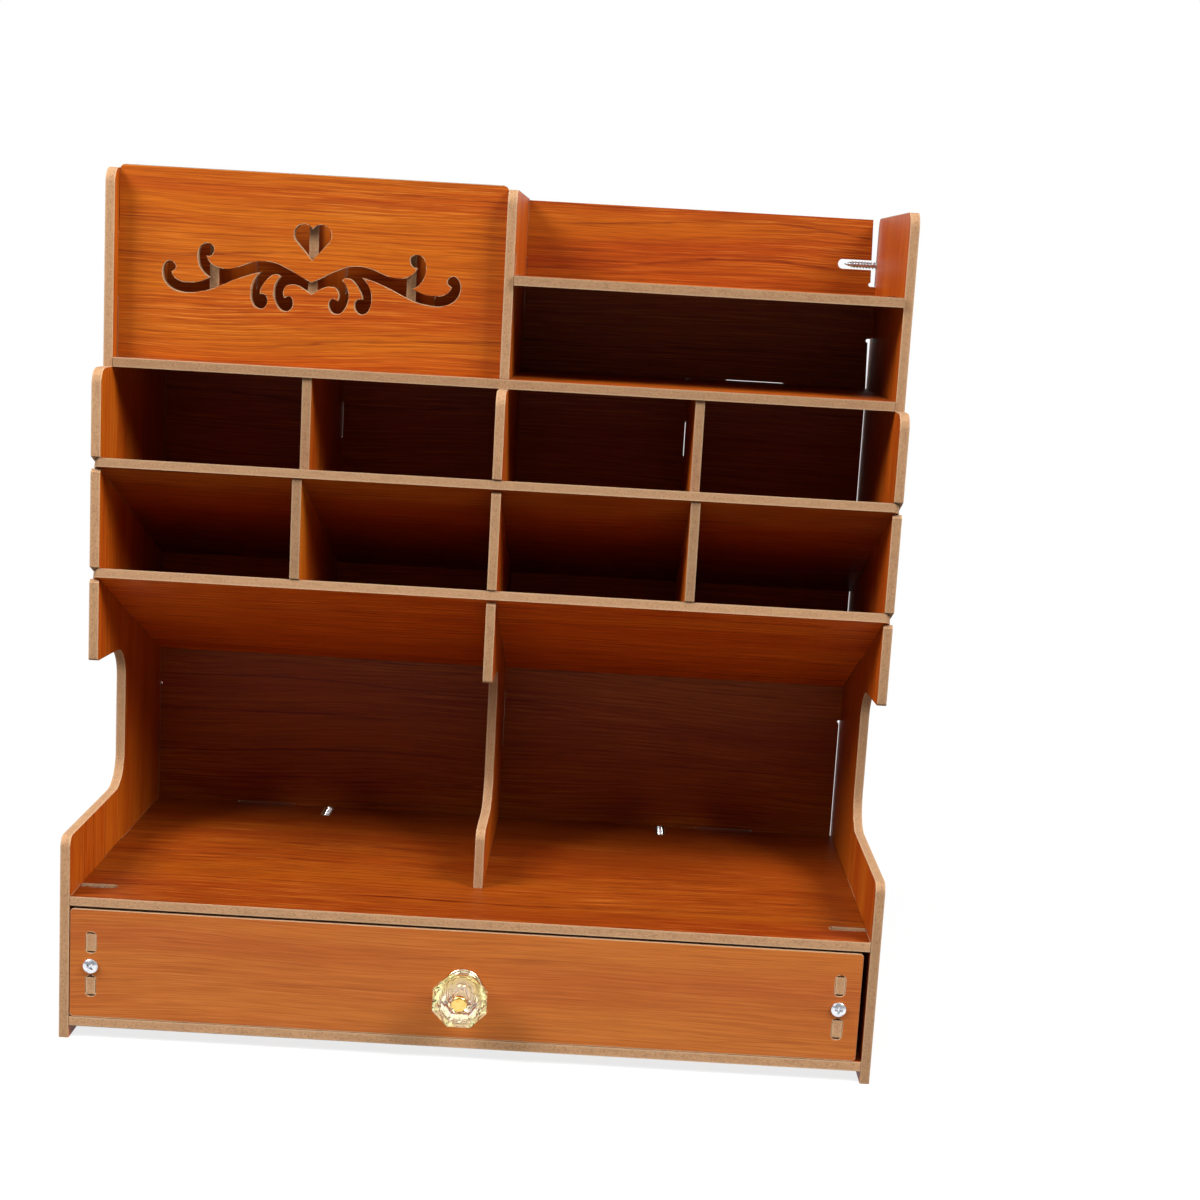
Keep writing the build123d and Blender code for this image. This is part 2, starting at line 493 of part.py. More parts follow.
# Centre panel: rear tabs, a foot tab and one screw from the back
for level in (CENTRE_TAB_Z, TOP_TAB_Z):
    tab_joint("back_panel", "centre_panel",
              (-BOARD / 2, BOARD / 2, BACK_Y - BOARD, DEPTH, level - half_tab, level + half_tab), 1)
foot_tab = (CENTRE_FOOT_TAB_Y - half_tab, CENTRE_FOOT_TAB_Y + half_tab, LOWER_Z, LOWER_Z + 2 * BOARD)
tab_joint("lower_floor", "centre_panel", (-BOARD / 2, BOARD / 2) + foot_tab, 2)
screw_joint("back_screws", "back_panel", "centre_panel", (0, BACK_Y, CENTRE_SCREW_Z),
            (0, -1, 0), (1, 0, 0), FIT)

# Screws through the side panels
rear_screw_y = UPPER_TAB_Y + REAR_SCREW_OFFSET
back_screw_levels = (BASE_Z + BOARD + LOW_SCREW_RISE, TOP_Z - TOP_SCREW_DROP)
for side, way in (("left", 1), ("right", -1)):
    outer = "side_panel_" + side
    group = "side_screws_" + side
    x = -way * INNER
    for name, y, z in (("base_board", FRONT_SCREW_Y, BASE_Z), ("lower_floor", FRONT_SCREW_Y, LOWER_Z),
                       ("upper_floor", rear_screw_y, UPPER_Z), ("tray_floor", rear_screw_y, TRAY_Z)):
        if name != "tray_floor" or side == "right":
            screw_joint(group, outer, name, (x, y, z + BOARD / 2), (way, 0, 0), (0, 0, 1), FIT)
    for level in back_screw_levels:
        screw_joint(group, outer, "back_panel", (x, BACK_Y + BOARD / 2, level), (way, 0, 0), (0, 1, 0),
                    abs(back_edge(level, -way) - x))

# Drawer: bottom, two sides standing on it, back between them, front over their ends
drawer_left = -INNER + DRAWER_SIDE_GAP + DRAWER_SHIFT
drawer_right = INNER - DRAWER_SIDE_GAP + DRAWER_SHIFT
drawer_z = BASE_Z + BOARD + DRAWER_LIFT
drawer_top = LOWER_Z - DRAWER_TOP_GAP
drawer_end = BACK_Y - DRAWER_REAR_GAP
drawer_middle = (drawer_z + drawer_top) / 2
face = Pos((drawer_left + drawer_right) / 2, drawer_middle) * RectangleRounded(
    drawer_right - drawer_left, drawer_top - drawer_z, DRAWER_FRONT_CORNER)
parts["drawer_front"] = fronted(face, 0)
side_z = drawer_z + BOARD + FIT
left_x = drawer_left + DRAWER_SIDE_INSET
right_x = drawer_right - DRAWER_SIDE_INSET - BOARD
side_y = BOARD + FIT
parts["drawer_bottom"] = block(left_x, right_x + BOARD, side_y, drawer_end,
                               drawer_z, drawer_z + BOARD)
side_top = drawer_top - DRAWER_SIDE_DROP
back_y = drawer_end - BACK_INSET - BOARD
parts["drawer_back"] = block(left_x + BOARD + FIT, right_x - FIT, back_y, back_y + BOARD,
                             side_z, side_top)
half = DRAWER_TAB / 2
for name, x, way in (("drawer_side_left", left_x, 1), ("drawer_side_right", right_x, -1)):
    parts[name] = block(x, x + BOARD, side_y, drawer_end, side_z, side_top)
    for y in (FLOOR_TAB_FRONT, FLOOR_TAB_REAR):
        tab_joint("drawer_bottom", name, (x, x + BOARD, y - half, y + half, drawer_z, side_z + BOARD), 2)
    for up in (-DRAWER_TAB_DROP, DRAWER_TAB_RISE):
        z = drawer_middle + up
        tab_joint("drawer_front", name, (x, x + BOARD, 0, side_y + BOARD, z - half, z + half), 1)
        edge = x + BOARD / 2 * (1 + way)
        ends = sorted((edge - way * BOARD, edge + way * BOARD))
        tab_joint(name, "drawer_back", (ends[0], ends[1], back_y, back_y + BOARD, z - half, z + half), 0)
    screw_joint("drawer_screws", "drawer_front", name,
                (x + BOARD / 2, BOARD, drawer_middle - DRAWER_SCREW_DROP), (0, 1, 0), (1, 0, 0), FIT)
    outside = x + BOARD * (1 + way) / 2
    screw_joint("drawer_screws", name, "drawer_back", (outside, back_y + BOARD / 2, drawer_middle),
                (way, 0, 0), (0, 1, 0), FIT)

# Knob on the middle of the drawer front, its axis along -Y
knob_x = (drawer_left + drawer_right) / 2 + KNOB_SHIFT
knob_z = drawer_middle - KNOB_DROP
knob_frame = Plane(origin=(knob_x, 0, knob_z), x_dir=(1, 0, 0), z_dir=(0, -1, 0))
rim = (ROSETTE_RADIUS, ROSETTE_RIM)
shoulder = (ROSETTE_RADIUS - ROSETTE_SHOULDER_INSET, ROSETTE_HEIGHT - ROSETTE_SHOULDER_DROP)
seat = (ROSETTE_SEAT, ROSETTE_HEIGHT)
profile = make_face([Polyline(seat, (0, ROSETTE_HEIGHT), (0, 0), (ROSETTE_RADIUS, 0), rim),
                     ThreePointArc(rim, shoulder, seat)])
rosette = revolve(Plane.XZ * profile, Axis.Z)
knob_hole = KNOB_SCREW_RADIUS + KNOB_SCREW_PLAY
rosette -= Cylinder(knob_hole, 3 * ROSETTE_HEIGHT)
parts["knob_rosette"] = knob_frame * rosette


def octagon(half_flat, height):
    """A level eight-sided face, given half its width across flats."""
    return Pos(0, 0, height) * RegularPolygon(half_flat, 8, major_radius=False, rotation=22.5)


widest_z = ROSETTE_HEIGHT + KNOB_GIRDLE_AT
face_z = ROSETTE_HEIGHT + KNOB_LENGTH
rings = [octagon(KNOB_BACK, ROSETTE_HEIGHT), octagon(KNOB_GIRDLE, widest_z - KNOB_BAND / 2),
         octagon(KNOB_GIRDLE, widest_z + KNOB_BAND / 2), octagon(KNOB_FACE, face_z)]
crystal = loft(rings[0:2], ruled=True) + loft(rings[1:3], ruled=True) + loft(rings[2:4], ruled=True)
crystal -= Cylinder(POST_RADIUS + POST_FIT, face_z + OVERCUT, align=STANDING)
parts["knob_crystal"] = knob_frame * crystal

cap_z = face_z + POST_FIT
post = Pos(0, 0, ROSETTE_HEIGHT) * Cylinder(POST_RADIUS, cap_z - ROSETTE_HEIGHT, align=STANDING)
cap = Pos(0, 0, cap_z) * Cylinder(CAP_RADIUS, CAP_HEIGHT, align=STANDING)
post += fillet(cap.edges().group_by(Axis.Z)[-1], CAP_ROUND)
post -= Cylinder(knob_hole, ROSETTE_HEIGHT + POST_BORE_DEPTH, align=STANDING)
parts["knob_post"] = knob_frame * post

bolt_length = BOARD + ROSETTE_HEIGHT + POST_BORE_DEPTH - KNOB_SCREW_SPARE
bolt = Pos(0, 0, -BOARD) * Cylinder(KNOB_SCREW_RADIUS, bolt_length, align=STANDING)
bolt_head = Pos(0, 0, -BOARD) * Cylinder(KNOB_SCREW_HEAD, HEAD_HEIGHT, align=HANGING)
bolt_head = fillet(bolt_head.edges().group_by(Axis.Z)[0], KNOB_SCREW_ROUND)
bolt_head -= Pos(0, 0, -BOARD - HEAD_HEIGHT) * cross_recess()
parts["knob_screw"] = knob_frame * (bolt + bolt_head)
parts["drawer_front"] -= knob_frame * Cylinder(knob_hole, 3 * BOARD)

# Export, with the origin under the middle of the whole
middle_y = (DEPTH + HEAD_HEIGHT - cap_z - CAP_HEIGHT) / 2
os.makedirs("parts", exist_ok=True)
for name, shape in parts.items():
    solid = Compound(children=shape) if isinstance(shape, list) else shape
    export_step(Pos(0, -middle_y, 0) * solid, "parts/" + name + ".step")
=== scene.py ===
"""A stepped desk organiser of printed fibreboard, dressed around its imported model.

Lengths in the dataclasses are in millimetres, and the studio's in metres. Meshes are made in
metres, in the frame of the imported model: the drawer opens towards -Y and the desk is at z = 0.
"""

import logging
import math
from dataclasses import dataclass, field, replace
from enum import Enum
from typing import Any, Iterable

import bmesh
import bpy
from mathutils import Euler, Matrix, Vector


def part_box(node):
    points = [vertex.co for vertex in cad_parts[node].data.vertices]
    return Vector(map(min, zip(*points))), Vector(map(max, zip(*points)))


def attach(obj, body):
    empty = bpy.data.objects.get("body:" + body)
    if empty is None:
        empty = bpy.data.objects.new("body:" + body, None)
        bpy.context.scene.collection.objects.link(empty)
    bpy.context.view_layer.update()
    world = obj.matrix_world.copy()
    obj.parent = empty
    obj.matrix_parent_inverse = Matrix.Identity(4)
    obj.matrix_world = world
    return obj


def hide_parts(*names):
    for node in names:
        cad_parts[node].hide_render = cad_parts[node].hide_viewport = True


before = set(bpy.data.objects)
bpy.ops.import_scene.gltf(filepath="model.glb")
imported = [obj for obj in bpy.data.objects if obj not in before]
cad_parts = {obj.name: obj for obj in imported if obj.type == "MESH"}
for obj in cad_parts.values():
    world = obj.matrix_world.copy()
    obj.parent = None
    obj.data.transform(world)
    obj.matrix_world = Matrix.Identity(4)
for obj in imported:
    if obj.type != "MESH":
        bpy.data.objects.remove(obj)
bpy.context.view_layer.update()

LOG = logging.getLogger("organiser")
MM = 0.001

# points nearer than this are one
WELD = 0.004 * MM
# cosines: of a face square to a direction, and the most that it changes over a soft edge
FLAT = 0.999
LEVEL_STEP = 0.05
# how far from each other in the print two boards are cut
BOARD_STEP = 0.37
WHITE = (1.0, 1.0, 1.0, 1.0)
BLACK = (0.0, 0.0, 0.0, 1.0)
ORIGIN = (0.0, 0.0, 0.0)

Colour = tuple[float, float, float, float]
Profile = Iterable[tuple[float, float]]
BMesh = bmesh.types.BMesh
Material = bpy.types.Material
Node = bpy.types.Node
Object = bpy.types.Object
Socket = bpy.types.NodeSocket


def linear(level: float) -> float:
    """Undo the screen's curve for one channel, from 0 to 1."""
    return level / 12.92 if level <= 0.04045 else ((level + 0.055) / 1.055) ** 2.4


def tone(red: int, green: int, blue: int) -> Colour:
    """The linear colour that a shader takes for a screen colour from 0 to 255."""
    return (linear(red / 255), linear(green / 255), linear(blue / 255), 1.0)


class Lie(Enum):
    """How a board lies: the turn that takes its own axes to the frame's.

    A board's own axes are x along the printed grain, y across it and z through the thickness.
    """

    LEVEL = (0.0, 0.0, 0.0)
    FACING = (90.0, 0.0, 0.0)
    UPRIGHT = (0.0, -90.0, 0.0)
    ENDWISE = (90.0, 0.0, 90.0)
    FALLING = (-25.0, 0.0, 0.0)

    def turn(self) -> Euler:
        """The turn as an Euler angle in radians."""
        return Euler([math.radians(angle) for angle in self.value])

    def through(self) -> Vector:
        """The direction through the board's thickness, in the frame."""
        return self.turn().to_matrix() @ Vector((0, 0, 1))


Layout = tuple[tuple[Lie, tuple[str, ...]], ...]


class Graph:
    """Adds and joins the nodes of one material, one world or one shader group."""

    def __init__(self, tree: bpy.types.NodeTree) -> None:
        """Empty and hold the node tree that the nodes go into."""
        self.tree = tree
        tree.nodes.clear()

    def add(self, kind: str, feeds: dict[Any, Any] | None = None, **settings: Any) -> Node:
        """Add a node, set its properties and feed its inputs.

        Args:
            kind: The node's type name.
            feeds: For each input's name or number, an output socket or a plain value.
            **settings: Properties of the node.

        Returns:
            The new node.
        """
        node = self.tree.nodes.new(kind)
        for name, value in settings.items():
            setattr(node, name, value)
        for name, value in (feeds or {}).items():
            if isinstance(value, Socket):
                self.tree.links.new(value, node.inputs[name])
            else:
                node.inputs[name].default_value = value
        return node

    def math(self, operation: str, *values: Any) -> Socket:
        """One step of arithmetic on one, two or three numbers."""
        terms = dict(enumerate(values))
        return self.add("ShaderNodeMath", terms, operation=operation).outputs[0]

    def reach(self, x: Any, y: Any) -> Socket:
        """The distance of the point (x, y) from the origin."""
        return self.math("SQRT", self.math("MULTIPLY_ADD", x, x, self.math("MULTIPLY", y, y)))

    def apart(self, vector: Socket) -> tuple[Socket, ...]:
        """Split a vector into the sockets of its x, y and z."""
        return tuple(self.add("ShaderNodeSeparateXYZ", {0: vector}).outputs)

    def noise(self, place: Iterable[Any], rates: Iterable[float], detail: float = 2.0,
              roughness: float = 0.5) -> Socket:
        """Soft noise from 0 to 1.

        Args:
            place: The place along each axis.
            rates: Blotches for each unit of the axes.
            detail: Number of finer layers.
            roughness: Strength of the finer layers.

        Returns:
            The noise value's socket.
        """
        spread = [self.math("MULTIPLY", value, rate) for value, rate in zip(place, rates)]
        point = self.add("ShaderNodeCombineXYZ", dict(enumerate(spread))).outputs[0]
        feeds = {"Vector": point, "Scale": 1.0, "Detail": detail, "Roughness": roughness}
        return self.add("ShaderNodeTexNoise", feeds, noise_dimensions="3D").outputs[0]

    def smooth(self, value: Any, low: float, high: float, first: float = 0.0,
               last: float = 1.0) -> Socket:
        """Go smoothly from first to last while a value goes from low to high."""
        terms = dict(enumerate((value, low, high, first, last)))
        return self.add("ShaderNodeMapRange", terms, interpolation_type="SMOOTHSTEP").outputs[0]

    def mix(self, share: Any, first: Any, last: Any) -> Socket:
        """Blend two colours by the share of the last one."""
        terms = {0: share, 6: first, 7: last}
        return self.add("ShaderNodeMix", terms, data_type="RGBA").outputs[2]

    def bump(self, height: Socket, distance: float, strength: float) -> Socket:
        """Turn a height into a normal; distance is the depth in metres of a height of 1."""
        feeds = {"Height": height, "Distance": distance, "Strength": strength}
        return self.add("ShaderNodeBump", feeds).outputs[0]


class Effect:
    """A look that several materials share, kept as one shader group with named sockets."""

    name: str = ""
    takes: dict[str, Any] = {}
    gives: dict[str, str] = {}

    def __init__(self) -> None:
        """Make the shader group and draw its nodes."""
        self.tree = bpy.data.node_groups.new(self.name, "ShaderNodeTree")
        for label, value in self.takes.items():
            kind = {3: "NodeSocketVector", 4: "NodeSocketColor"}.get(
                len(value) if isinstance(value, tuple) else 1, "NodeSocketFloat")
            socket = self.tree.interface.new_socket(name=label, in_out="INPUT", socket_type=kind)
            socket.default_value = value
        for label, kind in self.gives.items():
            self.tree.interface.new_socket(name=label, in_out="OUTPUT", socket_type=kind)
        graph = Graph(self.tree)
        graph.add("NodeGroupOutput", self.draw(graph, graph.add("NodeGroupInput").outputs))

    def draw(self, graph: Graph, start: Any) -> dict[str, Socket]:
        """Draw the group's nodes, and give the socket that feeds each output, by name."""
        raise NotImplementedError

    def place(self, graph: Graph, **values: Any) -> Any:
        """Put the effect into a material, and give its outputs, by name."""
        return graph.add("ShaderNodeGroup", values, node_tree=self.tree).outputs


COLOUR, NUMBER = "NodeSocketColor", "NodeSocketFloat"


class PrintedGrain(Effect):
    """Printed cherry grain: broad bands, wandering growth lines, fibres and short pores."""

    name = "printed_grain"
    takes = {"Place": ORIGIN, "Shift": 0.0, "Line Strength": 1.0, "Fibre Strength": 1.0,
             "Light": WHITE, "Middle": WHITE, "Deep": BLACK, "Pale": WHITE}
    gives = {"Color": COLOUR, "Gloss": NUMBER, "Height": NUMBER}
    slow_bend = 0.016
    quick_bend = 0.0016
    # each set of growth lines: lines a metre, layer, crest, zones from and to, weight
    line_sets = ((70.0, 17.0, 0.90, 0.42, 0.58, 0.90), (260.0, 23.0, 0.66, 0.42, 0.62, 0.55),
                 (520.0, 51.0, 0.45, 0.30, 0.52, 0.36))

    def draw(self, graph: Graph, start: Any) -> dict[str, Socket]:
        """Draw the print in the board's own x, along the grain, and y, across it.

        Args:
            graph: The group's graph.
            start: The group's inputs, by name.

        Returns:
            The sockets of the colour, the gloss and the height.
        """
        along, across, _ = graph.apart(start["Place"])
        x = graph.math("MULTIPLY_ADD", start["Shift"], 0.731, along)
        y = graph.math("MULTIPLY_ADD", start["Shift"], 0.269, across)

        def at(rate_x: float, rate_y: float, level: float, line: Any = y, detail: float = 2.0,
               roughness: float = 0.5) -> Socket:
            """Noise with so many blotches a metre along and across the grain."""
            return graph.noise((x, line, level), (rate_x, rate_y, 1.0), detail, roughness)

        slow = graph.math("SUBTRACT", at(5.0, 11.0, 0.0, detail=1.0), 0.5)
        quick = graph.math("SUBTRACT", at(22.0, 60.0, 3.0), 0.5)
        bent = graph.math("MULTIPLY_ADD", slow, self.slow_bend, y)
        bent = graph.math("MULTIPLY_ADD", quick, self.quick_bend, bent)
        bands = graph.smooth(at(2.6, 48.0, 7.0, bent, roughness=0.6), 0.30, 0.70)
        colour = graph.mix(bands, start["Middle"], start["Light"])

        ragged = at(60.0, 900.0, 11.0, detail=1.0)
        lines = None
        for rate, level, thin, low, high, weight in self.line_sets:
            phase = graph.math("MULTIPLY", bent, rate)
            phase = graph.math("MULTIPLY_ADD", at(3.0, 16.0, level), 2.4, phase)
            phase = graph.math("MULTIPLY_ADD", ragged, rate * 0.0014, phase)
            wave = graph.math("MULTIPLY", graph.math("PINGPONG", phase, 0.5), 2.0)
            here = graph.smooth(at(5.0, 34.0, level + 2.0, bent), low, high, 0.0, weight)
            line = graph.math("MULTIPLY", graph.smooth(wave, thin, 1.0), here)
            lines = line if lines is None else graph.math("MAXIMUM", lines, line)
        share = graph.math("MULTIPLY", lines, start["Line Strength"])
        colour = graph.mix(share, colour, start["Deep"])

        fibres = at(26.0, 1400.0, 29.0, bent, detail=3.0, roughness=0.68)
        zones = graph.smooth(at(9.0, 60.0, 37.0, bent), 0.35, 0.65, 0.25, 1.0)
        dark = graph.smooth(fibres, 0.36, 0.50, 0.34, 0.0)
        pale = graph.math("MULTIPLY", graph.smooth(fibres, 0.51, 0.62), zones)
        hairs = graph.smooth(at(30.0, 3000.0, 43.0, bent, detail=1.0), 0.40, 0.53, 0.42, 0.0)
        pores = graph.smooth(at(70.0, 2400.0, 31.0, detail=1.0), 0.58, 0.72, 0.0, 0.32)
        for mark, ink in ((dark, "Deep"), (pale, "Pale"), (hairs, "Deep"), (pores, "Deep")):
            share = graph.math("MULTIPLY", mark, start["Fibre Strength"])
            colour = graph.mix(share, colour, start[ink])
        height = graph.math("SUBTRACT", graph.math("MULTIPLY", fibres, 0.5), pores)
        return {"Color": colour, "Gloss": fibres, "Height": height}


class FibreCore(Effect):
    """Raw pressed fibre on a sawn edge: tan, speckled brown, paler towards the faces, darkened by
    painted shade.
    """

    name = "fibre_core"
    takes = {"Place": ORIGIN, "Rim": 0.0, "Light": 1.0, "Tan": tone(182, 141, 103),
             "Brown": tone(150, 112, 81), "Pale": tone(196, 161, 127)}
    gives = {"Color": COLOUR, "Height": NUMBER}

    def draw(self, graph: Graph, start: Any) -> dict[str, Socket]:
        """Draw the pressed fibres.

        Args:
            graph: The group's graph.
            start: The group's inputs, by name.

        Returns:
            The sockets of the colour and the height.
        """
        place = graph.apart(start["Place"])
        speck = graph.noise(place, (1200.0, 1200.0, 2200.0), roughness=0.7)
        cloud = graph.noise(place, (160.0, 160.0, 500.0), roughness=0.7)
        colour = graph.mix(graph.smooth(cloud, 0.3, 0.7, 0.0, 0.35), start["Tan"], start["Brown"])
        colour = graph.mix(graph.smooth(speck, 0.50, 0.62, 0.0, 0.85), colour, start["Brown"])
        colour = graph.mix(graph.math("MULTIPLY", start["Rim"], 0.55), colour, start["Pale"])
        # painted shade: the edge's colour darkened towards black by the Light level
        colour = graph.mix(start["Light"], BLACK, colour)
        return {"Color": colour, "Height": speck}


class BoardMask(Effect):
    """Tells the printed faces of a board from its sawn edges, and the edges' rims."""

    name = "board_mask"
    takes = {"Place": ORIGIN, "Facing": ORIGIN, "Half": 0.0}
    gives = {"Skin": NUMBER, "Rim": NUMBER}
    skin_from = (0.955, 0.985)
    rim_width = (0.1 * MM, 0.8 * MM)

    def draw(self, graph: Graph, start: Any) -> dict[str, Socket]:
        """Draw the masks.

        Args:
            graph: The group's graph.
            start: The group's inputs, by name.

        Returns:
            The sockets of the skin and the rim.
        """
        facing = graph.math("ABSOLUTE", graph.apart(start["Facing"])[2])
        depth = graph.math("ABSOLUTE", graph.apart(start["Place"])[2])
        left = graph.math("SUBTRACT", start["Half"], depth)
        return {"Skin": graph.smooth(facing, *self.skin_from),
                "Rim": graph.smooth(left, *self.rim_width, 1.0, 0.0)}


class Handling(Effect):
    """Faint smudges and hairline scratches of handled metal and plastic."""

    name = "handling"
    takes = {"Place": ORIGIN, "Bright": WHITE, "Dull": WHITE, "Smooth": 0.0, "Rough": 1.0}
    gives = {"Color": COLOUR, "Roughness": NUMBER, "Height": NUMBER}

    def draw(self, graph: Graph, start: Any) -> dict[str, Socket]:
        """Draw the smudges and scratches.

        Args:
            graph: The group's graph.
            start: The group's inputs, by name.

        Returns:
            The sockets of the colour, the roughness and the height.
        """
        place = graph.apart(start["Place"])
        smudge = graph.noise(place, (420.0, 420.0, 420.0))
        hair = graph.noise(place, (900.0, 900.0, 9000.0), roughness=0.6)
        worn = graph.smooth(smudge, 0.42, 0.70)
        colour = graph.mix(worn, start["Bright"], start["Dull"])
        gap = graph.math("SUBTRACT", start["Rough"], start["Smooth"])
        rough = graph.math("MULTIPLY_ADD", worn, gap, start["Smooth"])
        return {"Color": colour, "Roughness": rough, "Height": hair}


@dataclass(frozen=True)
class Effects:
    """The shared effects, built once."""

    grain: PrintedGrain = field(default_factory=PrintedGrain)
    core: FibreCore = field(default_factory=FibreCore)
    mask: BoardMask = field(default_factory=BoardMask)
    handling: Handling = field(default_factory=Handling)


def node_material(name: str) -> tuple[Material, Graph, Any]:
    """Start a node material.

    Args:
        name: The material's name.

    Returns:
        The material, its graph and the coordinates of the piece.
    """
    material = bpy.data.materials.new(name)
    material.use_nodes = True
    graph = Graph(material.node_tree)
    return material, graph, graph.add("ShaderNodeTexCoord").outputs


def coat(graph: Graph, shader: Node, kind: str = "Material") -> None:
    """Make a shader the surface of a material, or of the world if the kind is World."""
    graph.add(f"ShaderNodeOutput{kind}", {"Surface": shader.outputs[0]})


@dataclass(frozen=True)
class PrintedBoard:
    """Thin fibreboard with printed cherry faces and raw tan edges."""

    name: str
    light: Colour
    middle: Colour
    deep: Colour
    pale: Colour
    slot: str
    line_strength: float = 0.75
    fibre_strength: float = 0.75
    face_rough: tuple[float, float] = (0.52, 0.40)
    sheen: float = 0.18
    edge_rough: float = 0.86
    emboss: float = 0.05
    ink_height: float = 0.25
    thickness: float = 3.6
    # painted shade: the share of the raw edges' lightness that is kept
    painted_edge_light: float = 1.0

    def with_painted_light(self, share: float, red: float, painted_edge_light: float) -> "PrintedBoard":
        """Give the same board with painted light or shade: a lighter or darker, redder print and
        darker raw edges.

        Args:
            share: How much of the print's lightness is kept.
            red: How much of its green and blue is kept besides.
            painted_edge_light: How much of the raw edges' lightness is kept.

        Returns:
            The finish.
        """
        def painted_light_on(colour: Colour) -> Colour:
            """Paint light or shade onto one colour."""
            return (colour[0] * share, colour[1] * share * red, colour[2] * share * red, 1.0)

        return replace(self, light=painted_light_on(self.light), middle=painted_light_on(self.middle),
                       deep=painted_light_on(self.deep), pale=painted_light_on(self.pale), painted_edge_light=painted_edge_light)

    def material(self, effects: Effects, piece: str, middle: Vector, lie: Lie,
                 shift: float) -> Material:
        """Make the material of one board.

        Args:
            effects: The shared effects.
            piece: Name of the board.
            middle: Middle of the board, in metres.
            lie: How the board lies.
            shift: Where in the print the board was cut.

        Returns:
            The material.
        """
        material, graph, coords = node_material(f"{self.name}_{piece}")
        turned = [graph.add("ShaderNodeMapping", {"Vector": coords[source], "Location": place,
                                                  "Rotation": lie.turn()}, vector_type="TEXTURE")
                  for source, place in (("Object", middle), ("Normal", ORIGIN))]
        here, facing = (node.outputs[0] for node in turned)
        print_ = effects.grain.place(graph, Place=here, Shift=shift, Light=self.light,
                                     Middle=self.middle, Deep=self.deep, Pale=self.pale,
                                     **{"Line Strength": self.line_strength,
                                        "Fibre Strength": self.fibre_strength})
        masks = effects.mask.place(graph, Place=here, Facing=facing, Half=self.thickness / 2 * MM)
        # painted shade on the raw edges, through the core's Light level
        core = effects.core.place(graph, Place=here, Rim=masks["Rim"], Light=self.painted_edge_light)
        skin = masks["Skin"]
        face = graph.smooth(print_["Gloss"], 0.0, 1.0, *self.face_rough)
        drop = graph.math("SUBTRACT", face, self.edge_rough)
        raised = graph.math("MULTIPLY", core["Height"], graph.math("SUBTRACT", 1.0, skin))
        printed = graph.math("MULTIPLY", print_["Height"], skin)
        height = graph.math("MULTIPLY_ADD", printed, self.ink_height, raised)
        coat(graph, graph.add("ShaderNodeBsdfPrincipled", {
            "Base Color": graph.mix(skin, core["Color"], print_["Color"]),
            "Roughness": graph.math("MULTIPLY_ADD", drop, skin, self.edge_rough),
            "Normal": graph.bump(height, self.emboss * MM, 0.6),
            "Specular IOR Level": self.sheen}))
        return material


@dataclass(frozen=True)
class Metal:
    """Plated metal with faint smudges and hairlines."""

    name: str
    bright: Colour
    dull: Colour
    smooth: float
    rough: float
    slot: str
    shank: Colour | None = None
    shank_from: float = 0.0
    blend: float = 0.2
    scratch: float = 0.02

    def material(self, effects: Effects) -> Material:
        """Make the material, with the shared effects.

        Args:
            effects: The shared effects.

        Returns:
            The material.
        """
        material, graph, coords = node_material(self.name)
        worn = effects.handling.place(graph, Place=coords["Object"], Bright=self.bright,
                                      Dull=self.dull, Smooth=self.smooth, Rough=self.rough)
        colour = worn["Color"]
        if self.shank:
            deep = graph.smooth(graph.apart(coords["Object"])[1], self.shank_from * MM,
                                (self.shank_from + self.blend) * MM)
            colour = graph.mix(deep, colour, self.shank)
        coat(graph, graph.add("ShaderNodeBsdfPrincipled", {
            "Base Color": colour, "Metallic": 1.0, "Roughness": worn["Roughness"],
            "Normal": graph.bump(worn["Height"], self.scratch * MM, 0.3)}))
        return material


@dataclass(frozen=True)
class CutAcrylic:
    """Clear cut acrylic, with a painted yellow glow on its rim facets away from an axis along Y,
    standing in for the light that they refract.
    """

    centre: Vector
    name: str = "cut_acrylic"
    clear: Colour = (1.0, 0.95, 0.92, 1.0)
    hazy: Colour = (0.96, 0.90, 0.84, 1.0)
    # painted glow: yellow on the rim facets, standing in for refracted light
    rim: Colour = (1.0, 0.94, 0.42, 1.0)
    painted_glow_from: tuple[float, float] = (5.2, 8.4)
    rough: float = 0.06
    bend: float = 1.49
    slot: str = "clear_acrylic"

    def material(self, effects: Effects) -> Material:
        """Make the material, with the shared effects.

        Args:
            effects: The shared effects.

        Returns:
            The material.
        """
        material, graph, coords = node_material(self.name)
        worn = effects.handling.place(graph, Place=coords["Object"], Bright=self.clear,
                                      Dull=self.hazy, Smooth=0.0, Rough=self.rough)
        x, _, z = graph.apart(coords["Object"])
        far = graph.reach(graph.math("SUBTRACT", x, self.centre.x),
                          graph.math("SUBTRACT", z, self.centre.z))
        low, high = (distance * MM for distance in self.painted_glow_from)
        # paint the yellow glow onto the rim facets
        colour = graph.mix(graph.smooth(far, low, high), worn["Color"], self.rim)
        coat(graph, graph.add("ShaderNodeBsdfPrincipled", {
            "Base Color": colour, "Roughness": worn["Roughness"], "Transmission Weight": 1.0,
            "IOR": self.bend}))
        return material


def put(name: str, data: Any) -> Object:
    """Put an object into the scene.

    Args:
        name: The object's name.
        data: Its data, or a bmesh in metres, which is freed here.

    Returns:
        The object.
    """
    if isinstance(data, BMesh):
        bm, data = data, bpy.data.meshes.new(name)
        bm.to_mesh(data)
        bm.free()
    item = bpy.data.objects.new(name, data)
    bpy.context.scene.collection.objects.link(item)
    return item


def new_piece(name: str, bm: BMesh, material: Material, slot: str, body: str,
              *nodes: str) -> Object:
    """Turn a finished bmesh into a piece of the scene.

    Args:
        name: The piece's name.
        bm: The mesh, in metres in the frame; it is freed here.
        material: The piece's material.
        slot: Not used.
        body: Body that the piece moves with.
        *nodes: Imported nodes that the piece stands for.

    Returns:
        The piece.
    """
    piece = put(name, bm)
    piece.data.materials.append(material)
    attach(piece, body)
    if nodes:
        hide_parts(*nodes)
    return piece


